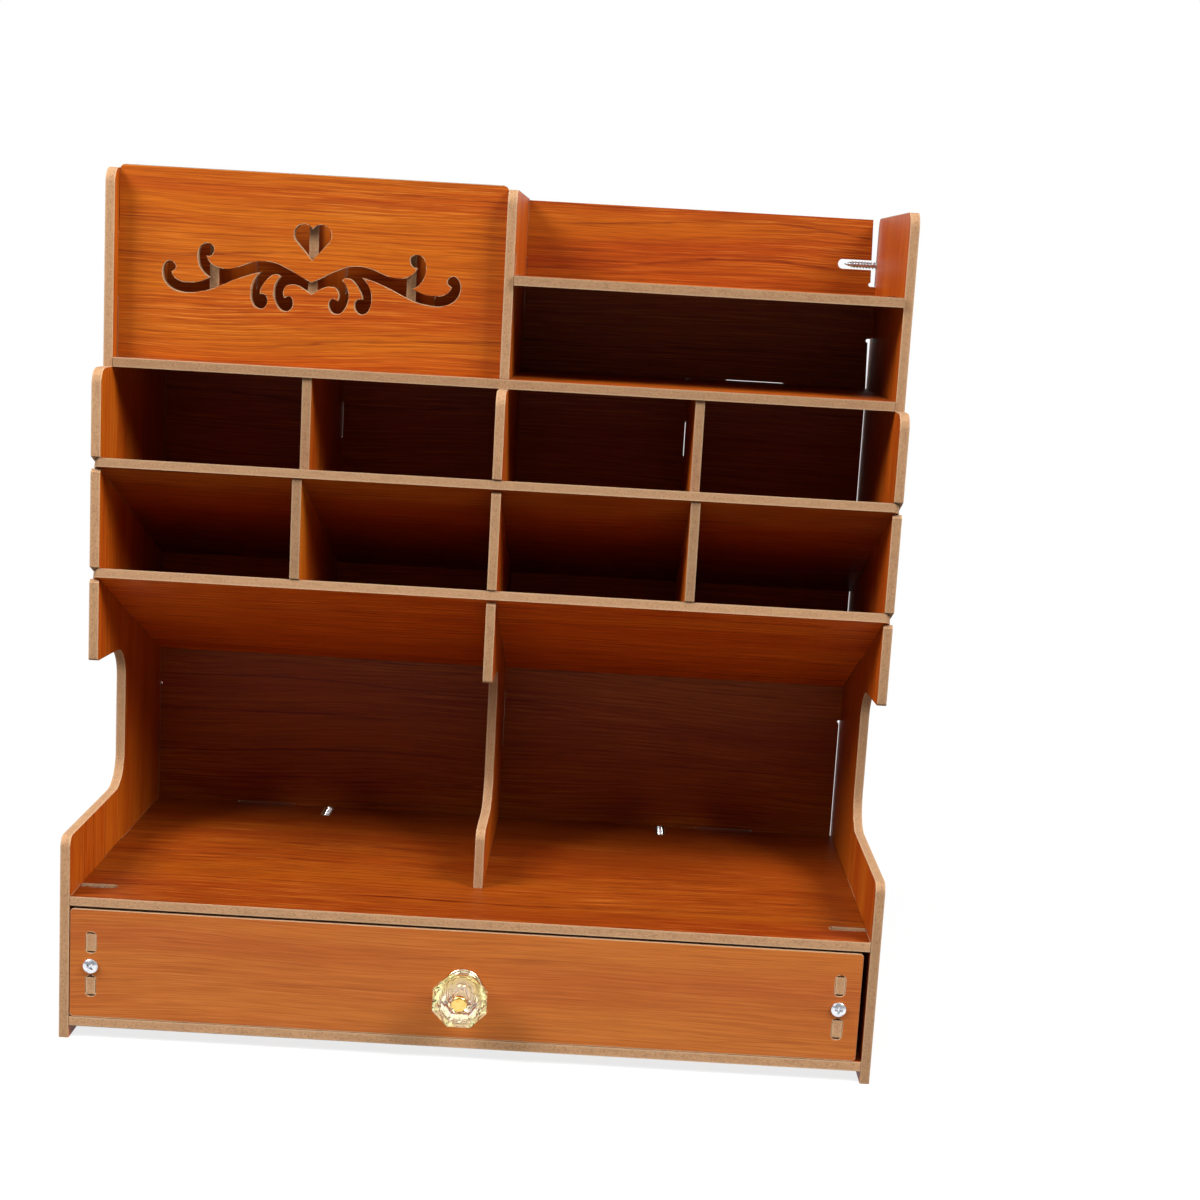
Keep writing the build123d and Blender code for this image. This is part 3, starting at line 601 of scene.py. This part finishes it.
def merged_copy(node: str) -> BMesh:
    """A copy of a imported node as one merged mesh.

    Args:
        node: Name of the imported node.

    Returns:
        The merged copy.
    """
    bm = bmesh.new()
    bm.from_mesh(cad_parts[node].data)
    bmesh.ops.remove_doubles(bm, verts=bm.verts, dist=WELD)
    bm.normal_update()
    return bm


def shade(bm: BMesh, limit: float) -> None:
    """Shade a mesh softly, and keep every edge crisp that turns more than a limit.

    Args:
        bm: The mesh.
        limit: The limit in radians.
    """
    for face in bm.faces:
        face.smooth = True
    for edge in bm.edges:
        edge.smooth = len(edge.link_faces) == 2 and edge.calc_face_angle() < limit


@dataclass
class Board:
    """One board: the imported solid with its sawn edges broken, as a router leaves them."""

    node: str
    lie: Lie
    finish: PrintedBoard
    body: str
    band: tuple[tuple[float, float], ...] = ((0.07, 0.24), (0.17, 0.07))
    soft_angle: float = 32.0

    def is_face(self, face: bmesh.types.BMFace) -> bool:
        """Whether a face is one of the two printed sides."""
        return abs(face.normal.dot(self.lie.through())) > FLAT

    def middle(self, bm: BMesh) -> Vector:
        """The middle of the board, between its two printed sides.

        Args:
            bm: The board's mesh.

        Returns:
            The middle in metres.
        """
        low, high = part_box(self.node)
        centre = (low + high) / 2
        axis = self.lie.through()
        sides: dict[bool, list[tuple[float, float]]] = {True: [], False: []}
        for face in filter(self.is_face, bm.faces):
            height = face.calc_center_median().dot(axis)
            sides[face.normal.dot(axis) > 0].append((face.calc_area(), height))
        level = [sum(a * h for a, h in side) / sum(a for a, _ in side) for side in sides.values()]
        return centre + axis * (sum(level) / 2 - centre.dot(axis))

    def break_edges(self, bm: BMesh) -> None:
        """Round the corners round both printed sides, in narrow bands.

        Each band has a width and the depth of its outer line under the printed side.

        Args:
            bm: The board's mesh.
        """
        axis = self.lie.through()
        for way in (-1, 1):
            side = [face for face in bm.faces if self.is_face(face)
                    and face.normal.dot(axis) * way > 0]
            drops = []
            for width, depth in self.band:
                before = {vert for face in side for vert in face.verts}
                bmesh.ops.inset_region(bm, faces=side, thickness=width * MM, depth=0.0,
                                       use_boundary=True, use_even_offset=False)
                inner = {vert for face in side for vert in face.verts}
                drops.append((before - inner, depth))
            for verts, depth in drops:
                bmesh.ops.translate(bm, verts=list(verts), vec=axis * (-way * depth * MM))

    def soften(self, bm: BMesh) -> None:
        """Shade curved walls softly and keep every corner crisp.

        Args:
            bm: The board's mesh.
        """
        axis = self.lie.through()
        shade(bm, math.radians(self.soft_angle))
        for edge in bm.edges:
            if edge.smooth:
                first, last = (abs(face.normal.dot(axis)) for face in edge.link_faces)
                edge.smooth = (abs(first - last) < LEVEL_STEP
                               and (first > FLAT) == (last > FLAT))

    def build(self, effects: Effects, shift: float) -> Object:
        """Make the board and dress it.

        Args:
            effects: The shared effects.
            shift: Where in the print the board was cut.

        Returns:
            The board.
        """
        bm = merged_copy(self.node)
        middle = self.middle(bm)
        self.break_edges(bm)
        bm.normal_update()
        self.soften(bm)
        material = self.finish.material(effects, self.node, middle, self.lie, shift)
        return new_piece(f"{self.node}_board", bm, material, self.finish.slot, self.body,
                         self.node)


CHERRY = PrintedBoard("cherry_print", tone(186, 99, 13), tone(166, 71, 6), tone(100, 22, 2),
                      tone(200, 116, 38), slot="cherry_laminate")
DRAWER_CHERRY = PrintedBoard("drawer_print", tone(184, 106, 42), tone(168, 86, 35),
                             tone(112, 44, 18), tone(190, 114, 56), slot="drawer_laminate",
                             line_strength=0.45, fibre_strength=0.5)
ZINC = Metal("bright_zinc", tone(232, 234, 238), tone(196, 199, 206), 0.20, 0.34,
             "zinc_plated_steel")
POST_GILT = Metal("post_gilt", tone(250, 214, 128), tone(236, 190, 96), 0.12, 0.26,
                  "gilt_metal", shank=tone(226, 206, 196), shank_from=-78.5)
PALE_GILT = Metal("pale_gilt", tone(236, 222, 192), tone(196, 176, 148), 0.10, 0.24, "gilt_metal")


@dataclass
class BoardSet:
    """Several boards of one body, each cut from another place in the print."""

    finish: PrintedBoard = CHERRY
    body: str = "carcass"
    first: int = 0
    # painted light and shade: boards not listed keep their print and get darker raw edges
    plain: tuple[float, float, float] = (1.0, 1.0, 0.8)
    # painted light and shade for each board: share of the print's lightness, of its green and blue
    # besides, and of the raw edges' lightness
    painted_light_levels: dict[str, tuple[float, float, float]] = field(default_factory=lambda: {
        "back_panel": (0.76, 0.94, 0.80), "base_board": (1.0, 1.0, 1.0),
        "centre_panel": (0.92, 0.90, 0.80), "side_panel_left": (1.08, 0.90, 0.88),
        "side_panel_right": (0.86, 0.85, 0.77), "lower_floor": (0.58, 0.82, 0.96),
        "upper_floor": (0.72, 0.86, 0.70), "tray_floor": (1.0, 1.0, 0.70),
        "sloped_shelf_lower": (1.50, 0.86, 0.62), "sloped_shelf_upper": (0.70, 0.90, 0.55),
        "card_divider_left": (1.0, 1.0, 0.65), "card_divider_right": (1.0, 1.0, 0.65),
    })
    bold: tuple[str, ...] = ("lower_floor", "sloped_shelf_lower", "sloped_shelf_upper")
    bold_lines: float = 1.3
    bold_fibres: float = 1.1
    layout: Layout = ()

    def build(self, effects: Effects) -> list[Object]:
        """Build the boards.

        Args:
            effects: The shared effects.

        Returns:
            The boards' pieces.
        """
        pieces = []
        boards = [(node, lie) for lie, nodes in self.layout for node in nodes]
        for number, (node, lie) in enumerate(boards, self.first):
            # paint each board's light or shade into its print and raw edges
            finish = self.finish.with_painted_light(*self.painted_light_levels.get(node, self.plain))
            if node in self.bold:
                finish = replace(finish, line_strength=self.bold_lines,
                                 fibre_strength=self.bold_fibres)
            board = Board(node, lie, finish, self.body)
            pieces.append(board.build(effects, number * BOARD_STEP))
        return pieces


@dataclass
class Carcass(BoardSet):
    """The case: side panels, centre panel, back panel, base board and level floors."""

    layout: Layout = (
        (Lie.UPRIGHT, ("side_panel_left", "side_panel_right", "centre_panel")),
        (Lie.FACING, ("back_panel",)),
        (Lie.LEVEL, ("base_board", "lower_floor", "upper_floor", "tray_floor")),
    )


@dataclass
class SlopedTiers(BoardSet):
    """The two shelves that fall to the rear, and the dividers of the card tier."""

    first: int = 20
    layout: Layout = (
        (Lie.FALLING, ("sloped_shelf_lower", "sloped_shelf_upper")),
        (Lie.UPRIGHT, ("card_divider_left", "card_divider_right")),
    )


@dataclass
class PenRack(BoardSet):
    """The cut-out panel in front of the pen columns, and the columns' dividers."""

    first: int = 30
    layout: Layout = (
        (Lie.FACING, ("ornament_panel",)),
        (Lie.UPRIGHT, ("pen_divider_1", "pen_divider_2", "pen_divider_3")),
    )


@dataclass
class Drawer(BoardSet):
    """The drawer's five boards, with a paler print."""

    finish: PrintedBoard = DRAWER_CHERRY
    body: str = "drawer"
    first: int = 40
    plain: tuple[float, float, float] = (1.0, 1.0, 1.0)
    layout: Layout = (
        (Lie.FACING, ("drawer_front",)),
        (Lie.ENDWISE, ("drawer_side_left", "drawer_side_right")),
        (Lie.FACING, ("drawer_back",)),
        (Lie.LEVEL, ("drawer_bottom",)),
    )


def revolved(profile: Profile, steps: int) -> BMesh:
    """Spin a profile round the Z axis into a closed skin.

    Args:
        profile: Radius and height of each point in millimetres, from axis to axis.
        steps: Number of steps round.

    Returns:
        The mesh.
    """
    bm = bmesh.new()
    line = [bm.verts.new((radius * MM, 0, height * MM)) for radius, height in profile]
    edges = [bm.edges.new(pair) for pair in zip(line, line[1:])]
    bmesh.ops.spin(bm, geom=line + edges, cent=(0, 0, 0), axis=(0, 0, 1), angle=2 * math.pi,
                   steps=steps, use_merge=True)
    bmesh.ops.remove_doubles(bm, verts=bm.verts, dist=WELD / 4)
    bmesh.ops.recalc_face_normals(bm, faces=bm.faces)
    return bm


def cut_away(bm: BMesh, tool: BMesh) -> BMesh:
    """Cut one closed mesh out of another.

    Args:
        bm: The mesh that is cut; it is freed here.
        tool: The mesh that is taken away; it is freed here.

    Returns:
        What is left.
    """
    pair = [put("blank", bm), put("cutter", tool)]
    cut = pair[0].modifiers.new("cut", "BOOLEAN")
    cut.operation, cut.solver, cut.object = "DIFFERENCE", "EXACT", pair[1]
    cut.use_self = True
    bpy.context.view_layer.update()
    result = bmesh.new()
    result.from_mesh(pair[0].evaluated_get(bpy.context.evaluated_depsgraph_get()).to_mesh())
    for item in pair:
        mesh = item.data
        bpy.data.objects.remove(item)
        bpy.data.meshes.remove(mesh)
    bmesh.ops.remove_doubles(result, verts=result.verts, dist=WELD / 2)
    return result


@dataclass
class PointedScrew:
    """A small pointed screw with a domed head and a cross recess, its head towards +Z."""

    length: float = 17.4
    core: float = 1.12
    crest: float = 1.55
    pitch: float = 1.3
    flank: float = 0.42
    blunt: float = 0.06
    root: float = 0.12
    runout: float = 0.5
    tip: float = 3.4
    sharpness: float = 0.04
    plain: float = 2.6
    head_radius: float = 2.8
    head_height: float = 1.7
    head_shares: tuple[float, ...] = (0.0, 0.28, 0.52, 0.74, 0.9, 0.97, 1.0)
    rim: tuple[float, float] = (0.14, 0.16)
    dome: float = 0.94
    arm_width: float = 0.80
    arm_reach: float = 3.5
    recess_depth: float = 1.5
    recess_lift: float = 0.4
    recess_taper: tuple[float, float] = (0.42, 0.6)
    steps: int = 20
    thread_steps: int = 14
    crease: float = 0.6

    def recess(self) -> BMesh:
        """The tapered cross, wider at its middle, that a driver bit fits.

        Returns:
            The mesh to cut out of the head.
        """
        bm = bmesh.new()
        square = self.arm_reach / 2
        for turn, reach, width in ((0.0, self.arm_reach, self.arm_width),
                                   (math.pi / 2, self.arm_reach, self.arm_width),
                                   (math.pi / 4, square, square)):
            made = bmesh.ops.create_cube(bm, size=1.0)["verts"]
            for vert in made:
                low = vert.co.z < 0
                long, wide = self.recess_taper if low else (1.0, 1.0)
                level = self.head_height + (-self.recess_depth if low else self.recess_lift)
                vert.co = Vector((vert.co.x * reach * long, vert.co.y * width * wide, level)) * MM
            bmesh.ops.rotate(bm, verts=made, cent=(0, 0, 0), matrix=Matrix.Rotation(turn, 3, "Z"))
        return bm

    def head(self) -> BMesh:
        """The domed head with its recess, and the shank, in one skin.

        Returns:
            The mesh.
        """
        ball = (self.head_radius ** 2 + self.dome ** 2) / (2 * self.dome)
        radii = [self.head_radius * share for share in self.head_shares]
        profile = [(r, self.head_height - ball + math.sqrt(ball ** 2 - r ** 2)) for r in radii]
        profile += [(self.head_radius, self.rim[1]), (self.head_radius - self.rim[0], 0.0),
                    (self.core, 0.0), (self.core, -self.length + self.tip)]
        for share in (0.75, 0.5, 0.25):
            profile.append((self.core * share ** 0.8, -self.length + self.tip * share))
        profile.append((0.0, -self.length))
        return cut_away(revolved(profile, self.steps), self.recess())

    def thread(self, bm: BMesh) -> None:
        """Wind the thread round the shank, fading in below the head and out at the tip.

        Args:
            bm: The screw's mesh.
        """
        before = set(bm.verts)
        turns = int((self.length - self.plain - self.runout) / self.pitch)
        inner = self.core - self.root
        points = ((inner, self.flank), (self.crest, self.blunt), (self.crest, -self.blunt),
                  (inner, -self.flank))
        line = [bm.verts.new((r * MM, 0, (h - self.plain) * MM)) for r, h in points]
        edges = [bm.edges.new((line[i], line[(i + 1) % 4])) for i in range(4)]
        count = turns * self.thread_steps
        bmesh.ops.spin(bm, geom=line + edges, cent=(0, 0, 0), axis=(0, 0, 1),
                       dvec=(0, 0, -turns * self.pitch * MM / count),
                       angle=2 * math.pi * turns, steps=count, use_merge=False)
        fresh = [vert for vert in bm.verts if vert not in before]
        ends = [edge for edge in bm.edges if edge.is_boundary
                and edge.verts[0] not in before and edge.verts[1] not in before]
        bmesh.ops.holes_fill(bm, edges=ends, sides=4)
        faces = list({face for vert in fresh for face in vert.link_faces})
        bmesh.ops.recalc_face_normals(bm, faces=faces)
        for vert in fresh:
            depth = -vert.co.z / MM
            fade = min(1.0, max(0.0, (depth - self.plain + self.flank) / self.pitch))
            left = min(1.0, max(self.sharpness, (self.length - depth) / self.tip))
            radius = math.hypot(vert.co.x, vert.co.y) / MM
            wanted = (inner + (radius - inner) * fade) * left
            vert.co.x *= wanted / radius
            vert.co.y *= wanted / radius

    def build(self) -> bpy.types.Mesh:
        """Make one screw, its head's underside at z = 0.

        Returns:
            The screw's mesh.
        """
        bm = self.head()
        self.thread(bm)
        shade(bm, self.crease)
        mesh = bpy.data.meshes.new("pointed_screw")
        bm.to_mesh(mesh)
        bm.free()
        return mesh


@dataclass
class ScrewSets:
    """The groups of screws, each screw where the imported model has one."""

    finish: Metal = ZINC
    head_from: float = 2.4
    first_turn: float = 11.0
    next_turn: float = 37.0
    screw: PointedScrew = field(default_factory=PointedScrew)
    groups: tuple[tuple[str, str], ...] = (
        ("side_screws_left", "carcass"), ("side_screws_right", "carcass"),
        ("back_screws", "carcass"), ("drawer_screws", "drawer"),
    )

    def seats(self, node: str) -> list[Matrix]:
        """Find where each screw of a group sits.

        Args:
            node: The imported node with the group's screws.

        Returns:
            For each screw, the move from its own axes to the frame.
        """
        bm = merged_copy(node)
        left = set(bm.verts)
        found = []
        while left:
            island, front = set(), [next(iter(left))]
            while front:
                vert = front.pop()
                if vert not in island:
                    island.add(vert)
                    front += [edge.other_vert(vert) for edge in vert.link_edges]
            left -= island
            found.append(self.seat([vert.co.copy() for vert in island]))
        bm.free()
        found.sort(key=lambda seat: tuple(round(value, 4) for value in seat.translation))
        return found

    def seat(self, points: list[Vector]) -> Matrix:
        """Find one screw's axis and head from its points.

        Args:
            points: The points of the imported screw.

        Returns:
            The move from the screw's own axes to the frame.
        """
        low = Vector([min(p[i] for p in points) for i in range(3)])
        high = Vector([max(p[i] for p in points) for i in range(3)])
        centre = (low + high) / 2
        axis = max(range(3), key=lambda i: high[i] - low[i])
        one, two = (i for i in range(3) if i != axis)
        wide = [p[axis] for p in points
                if math.hypot(p[one] - centre[one], p[two] - centre[two]) > self.head_from * MM]
        way = 1 if sum(wide) / len(wide) > centre[axis] else -1
        direction = Vector([way if i == axis else 0 for i in range(3)])
        centre[axis] = (high if way > 0 else low)[axis] - way * self.screw.head_height * MM
        return Matrix.Translation(centre) @ direction.to_track_quat("Z", "X").to_matrix().to_4x4()

    def build(self, effects: Effects) -> list[Object]:
        """Build every group of screws.

        Args:
            effects: The shared effects.

        Returns:
            One piece for each group.
        """
        mesh = self.screw.build()
        material = self.finish.material(effects)
        pieces = []
        for node, body in self.groups:
            bm = bmesh.new()
            for index, seat in enumerate(self.seats(node)):
                have = len(bm.verts)
                bm.from_mesh(mesh)
                bm.verts.ensure_lookup_table()
                angle = math.radians(self.first_turn + self.next_turn * index)
                turn = Matrix.Rotation(angle, 4, "Z")
                bmesh.ops.transform(bm, matrix=seat @ turn, verts=bm.verts[have:])
            pieces.append(new_piece(f"{node}_threaded", bm, material, self.finish.slot, body,
                                    node))
        bpy.data.meshes.remove(mesh)
        return pieces


@dataclass
class Knob:
    """The clear eight-sided knob on its gilt rosette, held by a gilt capped post."""

    centre: tuple[float, float] = (-1.6, 29.1)
    foot: float = -62.375
    back: float = 5.6
    girdle: float = 10.0
    face: float = 6.6
    pavilion: tuple[float, float] = (8.3, 7.9)
    levels: tuple[float, float, float, float] = (2.6, 13.2, 14.4, 16.2)
    rosette: Profile = (
        (0, 0), (7.15, 0), (7.3, 0.15), (7.3, 0.62), (7.2, 0.86), (6.95, 1.0), (6.7, 0.95),
        (6.52, 0.76), (6.4, 0.66), (6.22, 0.78), (6.0, 1.15), (5.72, 1.65), (5.4, 2.05),
        (5.0, 2.36), (4.55, 2.54), (4.1, 2.6), (0, 2.6))
    # heights over the crystal's back in the first two, and over its face in the last two
    collar: Profile = ((0, 0), (4.35, 0), (4.6, 0.2), (4.6, 1.3), (4.35, 1.55), (2.4, 1.7))
    collar_recess: Profile = ((0, -1), (4.75, -1), (4.75, 1.7), (2.5, 2.3))
    cap: Profile = ((2.4, 0.05), (2.8, 0.05), (2.95, 0.2), (2.95, 0.62), (2.86, 0.92),
                    (2.66, 1.14), (2.35, 1.27), (1.9, 1.33), (1.5, 1.31), (0, 1.28))
    cap_recess: Profile = ((2.5, -1.5), (4.15, -0.5), (4.3, 1), (0, 1))
    steps: int = 48
    crease: float = 0.75

    def seat(self) -> Matrix:
        """The move from the knob's own axis, +Z outwards, to the frame."""
        place = Vector((self.centre[0], self.foot, self.centre[1])) * MM
        return Matrix.Translation(place) @ Matrix.Rotation(math.radians(90), 4, "X")

    def ring(self, bm: BMesh, half_flat: float, height: float, turned: bool = False) -> None:
        """Add an eight-sided ring of points.

        Args:
            bm: The mesh that takes it.
            half_flat: Half the width across flats; if turned, the distance of the corners.
            height: Height over the drawer front.
            turned: Whether its corners lie over the middles of the other rings' sides.
        """
        radius = half_flat if turned else half_flat / math.cos(math.pi / 8)
        made = bmesh.ops.create_circle(bm, segments=8, radius=radius * MM)["verts"]
        first = math.atan2(made[0].co.y, made[0].co.x)
        turn = (0.0 if turned else math.pi / 8) - first
        bmesh.ops.rotate(bm, verts=made, cent=(0, 0, 0), matrix=Matrix.Rotation(turn, 3, "Z"))
        bmesh.ops.translate(bm, verts=made, vec=(0, 0, height * MM))

    def crystal(self) -> BMesh:
        """The cut crystal, bored for its post and recessed for cap and collar.

        Returns:
            The mesh.
        """
        bm = bmesh.new()
        halves = (self.back, self.girdle, self.girdle, self.face)
        for half, level in zip(halves, self.levels):
            self.ring(bm, half, level)
        self.ring(bm, *self.pavilion, turned=True)
        hull = bmesh.ops.convex_hull(bm, input=bm.verts)
        bmesh.ops.delete(bm, geom=[g for g in hull["geom_interior"] + hull["geom_unused"]
                                   if isinstance(g, bmesh.types.BMVert)], context="VERTS")
        bmesh.ops.dissolve_limit(bm, angle_limit=math.radians(0.5), verts=bm.verts,
                                 edges=bm.edges)
        bmesh.ops.recalc_face_normals(bm, faces=bm.faces)
        bore = revolved(self.joined(self.collar_recess, self.cap_recess), self.steps)
        crystal = cut_away(bm, bore)
        for edge in crystal.edges:
            edge.smooth = False
        return crystal

    def joined(self, lower: Profile, upper: Profile) -> Profile:
        """Join a profile with heights over the crystal's back and one over its face."""
        parts = ((lower, self.levels[0]), (upper, self.levels[3]))
        return [(radius, height + level) for part, level in parts for radius, height in part]

    def turned_part(self, profile: Profile) -> BMesh:
        """A lathe-turned part.

        Args:
            profile: Radius and height of each point, from axis to axis.

        Returns:
            The mesh.
        """
        bm = revolved(profile, self.steps)
        shade(bm, self.crease)
        return bm

    def build(self, effects: Effects) -> list[Object]:
        """Build the knob's pieces.

        Args:
            effects: The shared effects.

        Returns:
            The rosette, the crystal and the post.
        """
        post = self.turned_part(self.joined(self.collar, self.cap))
        pieces = []
        for name, bm, finish, node in (
                ("gilt_rosette", self.turned_part(self.rosette), PALE_GILT, "knob_rosette"),
                ("cut_crystal", self.crystal(), CutAcrylic(self.seat().to_translation()),
                 "knob_crystal"),
                ("capped_post", post, POST_GILT, "knob_post")):
            bmesh.ops.transform(bm, matrix=self.seat(), verts=bm.verts)
            material = finish.material(effects)
            pieces.append(new_piece(name, bm, material, finish.slot, "drawer", node))
        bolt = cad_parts["knob_screw"]
        bolt.data.materials.clear()
        bolt.data.materials.append(bpy.data.materials[ZINC.name])
        return pieces + [bolt]


@dataclass
class Softbox:
    """A large soft lamp."""

    name: str
    place: tuple[float, float, float]
    aim: tuple[float, float, float]
    width: float
    height: float
    power: float
    glossy: bool = True

    def build(self) -> Object:
        """Hang the lamp, turned to what it lights.

        Returns:
            The lamp.
        """
        lamp = bpy.data.lights.new(self.name, "AREA")
        lamp.shape = "RECTANGLE"
        lamp.size, lamp.size_y, lamp.energy = self.width, self.height, self.power
        holder = put(self.name, lamp)
        holder.location = self.place
        holder.visible_glossy = self.glossy
        way = Vector(self.aim) - Vector(self.place)
        holder.rotation_euler = way.to_track_quat("-Z", "Y").to_euler()
        holder.visible_camera = False
        return holder


@dataclass
class Studio:
    """White sweep, soft lamps, surroundings and the camera."""

    floor_size: float = 6.0
    paint: tuple[float, float] = (0.80, 0.84)
    bounce: float = 0.22
    glow: tuple[float, float] = (0.80, 1.0)
    glow_reach: tuple[float, float] = (0.16, 0.55)
    room: tuple[float, float] = (0.35, 1.0)
    room_turn: tuple[float, float] = (-0.35, 0.30)
    ambient: float = 0.04
    eye: tuple[float, float, float] = (0.04251, -0.73542, 0.29468)
    pan: float = -0.10
    tilt: float = 9.76
    roll: float = 3.29
    lens: float = 56.77
    lamps: tuple[Softbox, ...] = (
        Softbox("softbox_left", (-1.22, -0.72, 1.42), (0, 0, 0.16), 0.85, 0.85, 54.0),
        Softbox("softbox_right", (1.22, -0.72, 1.42), (0, 0, 0.16), 0.85, 0.85, 51.0),
        Softbox("softbox_rear", (0.3, 1.45, 0.17), (0, 0, 0.17), 1.2, 0.26, 26.0, glossy=False),
        Softbox("softbox_top", (0.0, -0.90, 1.60), (0, 0, 0.2), 1.0, 0.7, 4.0),
    )

    def floor(self) -> Object:
        """Lay the white floor, which keeps the organiser's shadow.

        Returns:
            The floor.
        """
        bm = bmesh.new()
        bmesh.ops.create_grid(bm, x_segments=4, y_segments=4, size=self.floor_size / 2)
        floor = put("studio_floor", bm)
        material, graph, coords = node_material("white_sweep")
        x, y, _ = graph.apart(coords["Object"])
        dim, bright, back = ((level, level, level, 1.0) for level in (*self.paint, self.bounce))
        cloud = graph.mix(graph.noise((x, y), (3.0, 3.0)), dim, bright)
        paint, bounce = (graph.add("ShaderNodeBsdfDiffuse", {"Color": colour})
                         for colour in (cloud, back))
        far = graph.smooth(graph.reach(x, y), *self.glow_reach, *self.glow)
        glow = graph.add("ShaderNodeEmission")
        white = graph.add("ShaderNodeMixShader", {0: far, 1: paint.outputs[0], 2: glow.outputs[0]})
        coat(graph, graph.add("ShaderNodeMixShader", {
            0: self.seen(graph), 1: bounce.outputs[0], 2: white.outputs[0]}))
        floor.data.materials.append(material)
        return floor

    def seen(self, graph: Graph) -> Socket:
        """1 for what the camera sees, straight or in metal and glass, and 0 for what lights.

        Args:
            graph: The graph of a material or the world.

        Returns:
            The value's socket.
        """
        path = graph.add("ShaderNodeLightPath").outputs
        seen = graph.math("MAXIMUM", path["Is Camera Ray"], path["Is Glossy Ray"])
        return graph.math("MAXIMUM", seen, path["Is Transmission Ray"])

    def surroundings(self) -> bpy.types.World:
        """Set up a white backdrop behind, a dim room in front and a low ambient light.

        Returns:
            The world.
        """
        world = bpy.data.worlds.new("studio_world")
        bpy.context.scene.world = world
        world.use_nodes = True
        graph = Graph(world.node_tree)
        path = graph.add("ShaderNodeLightPath").outputs
        way = graph.apart(graph.add("ShaderNodeTexCoord").outputs["Generated"])[1]
        behind = graph.smooth(way, *self.room_turn, *self.room)
        lift = graph.math("SUBTRACT", behind, self.ambient)
        level = graph.math("MULTIPLY_ADD", path["Is Glossy Ray"], lift, self.ambient)
        for seen in ("Is Transmission Ray", "Is Camera Ray"):
            level = graph.math("MAXIMUM", level, path[seen])
        glow = graph.add("ShaderNodeBackground", {"Color": WHITE, "Strength": level})
        coat(graph, glow, "World")
        return world

    def camera(self) -> Object:
        """Set up the camera of the photograph.

        Returns:
            The camera.
        """
        data = bpy.data.cameras.new("studio_camera")
        data.sensor_width, data.lens = 36.0, self.lens
        data.clip_start, data.clip_end = 0.01, 50.0
        camera = put("studio_camera", data)
        stand = Matrix.Translation(self.eye)
        for angle, axis in ((-self.pan, "Z"), (90.0 - self.tilt, "X"), (self.roll, "Z")):
            stand @= Matrix.Rotation(math.radians(angle), 4, axis)
        camera.matrix_world = stand
        bpy.context.scene.camera = camera
        return camera

    def build(self) -> list[Object]:
        """Set up the whole studio.

        Returns:
            The floor, the camera and the lamps.
        """
        bpy.context.scene.view_settings.view_transform = "Standard"
        self.surroundings()
        return [self.floor(), self.camera()] + [lamp.build() for lamp in self.lamps]


def main() -> None:
    """Build every sub-assembly and the studio, in order."""
    logging.basicConfig(level=logging.INFO, format="%(name)s: %(message)s")
    effects = Effects()
    parts = (Carcass(), SlopedTiers(), PenRack(), Drawer(), ScrewSets(), Knob())
    for part in parts:
        for piece in part.build(effects):
            LOG.info("%s: %s, %d faces", type(part).__name__, piece.name,
                     len(piece.data.polygons))
    for item in Studio().build():
        LOG.info("Studio: %s", item.name)


if __name__ == "__main__":
    main()
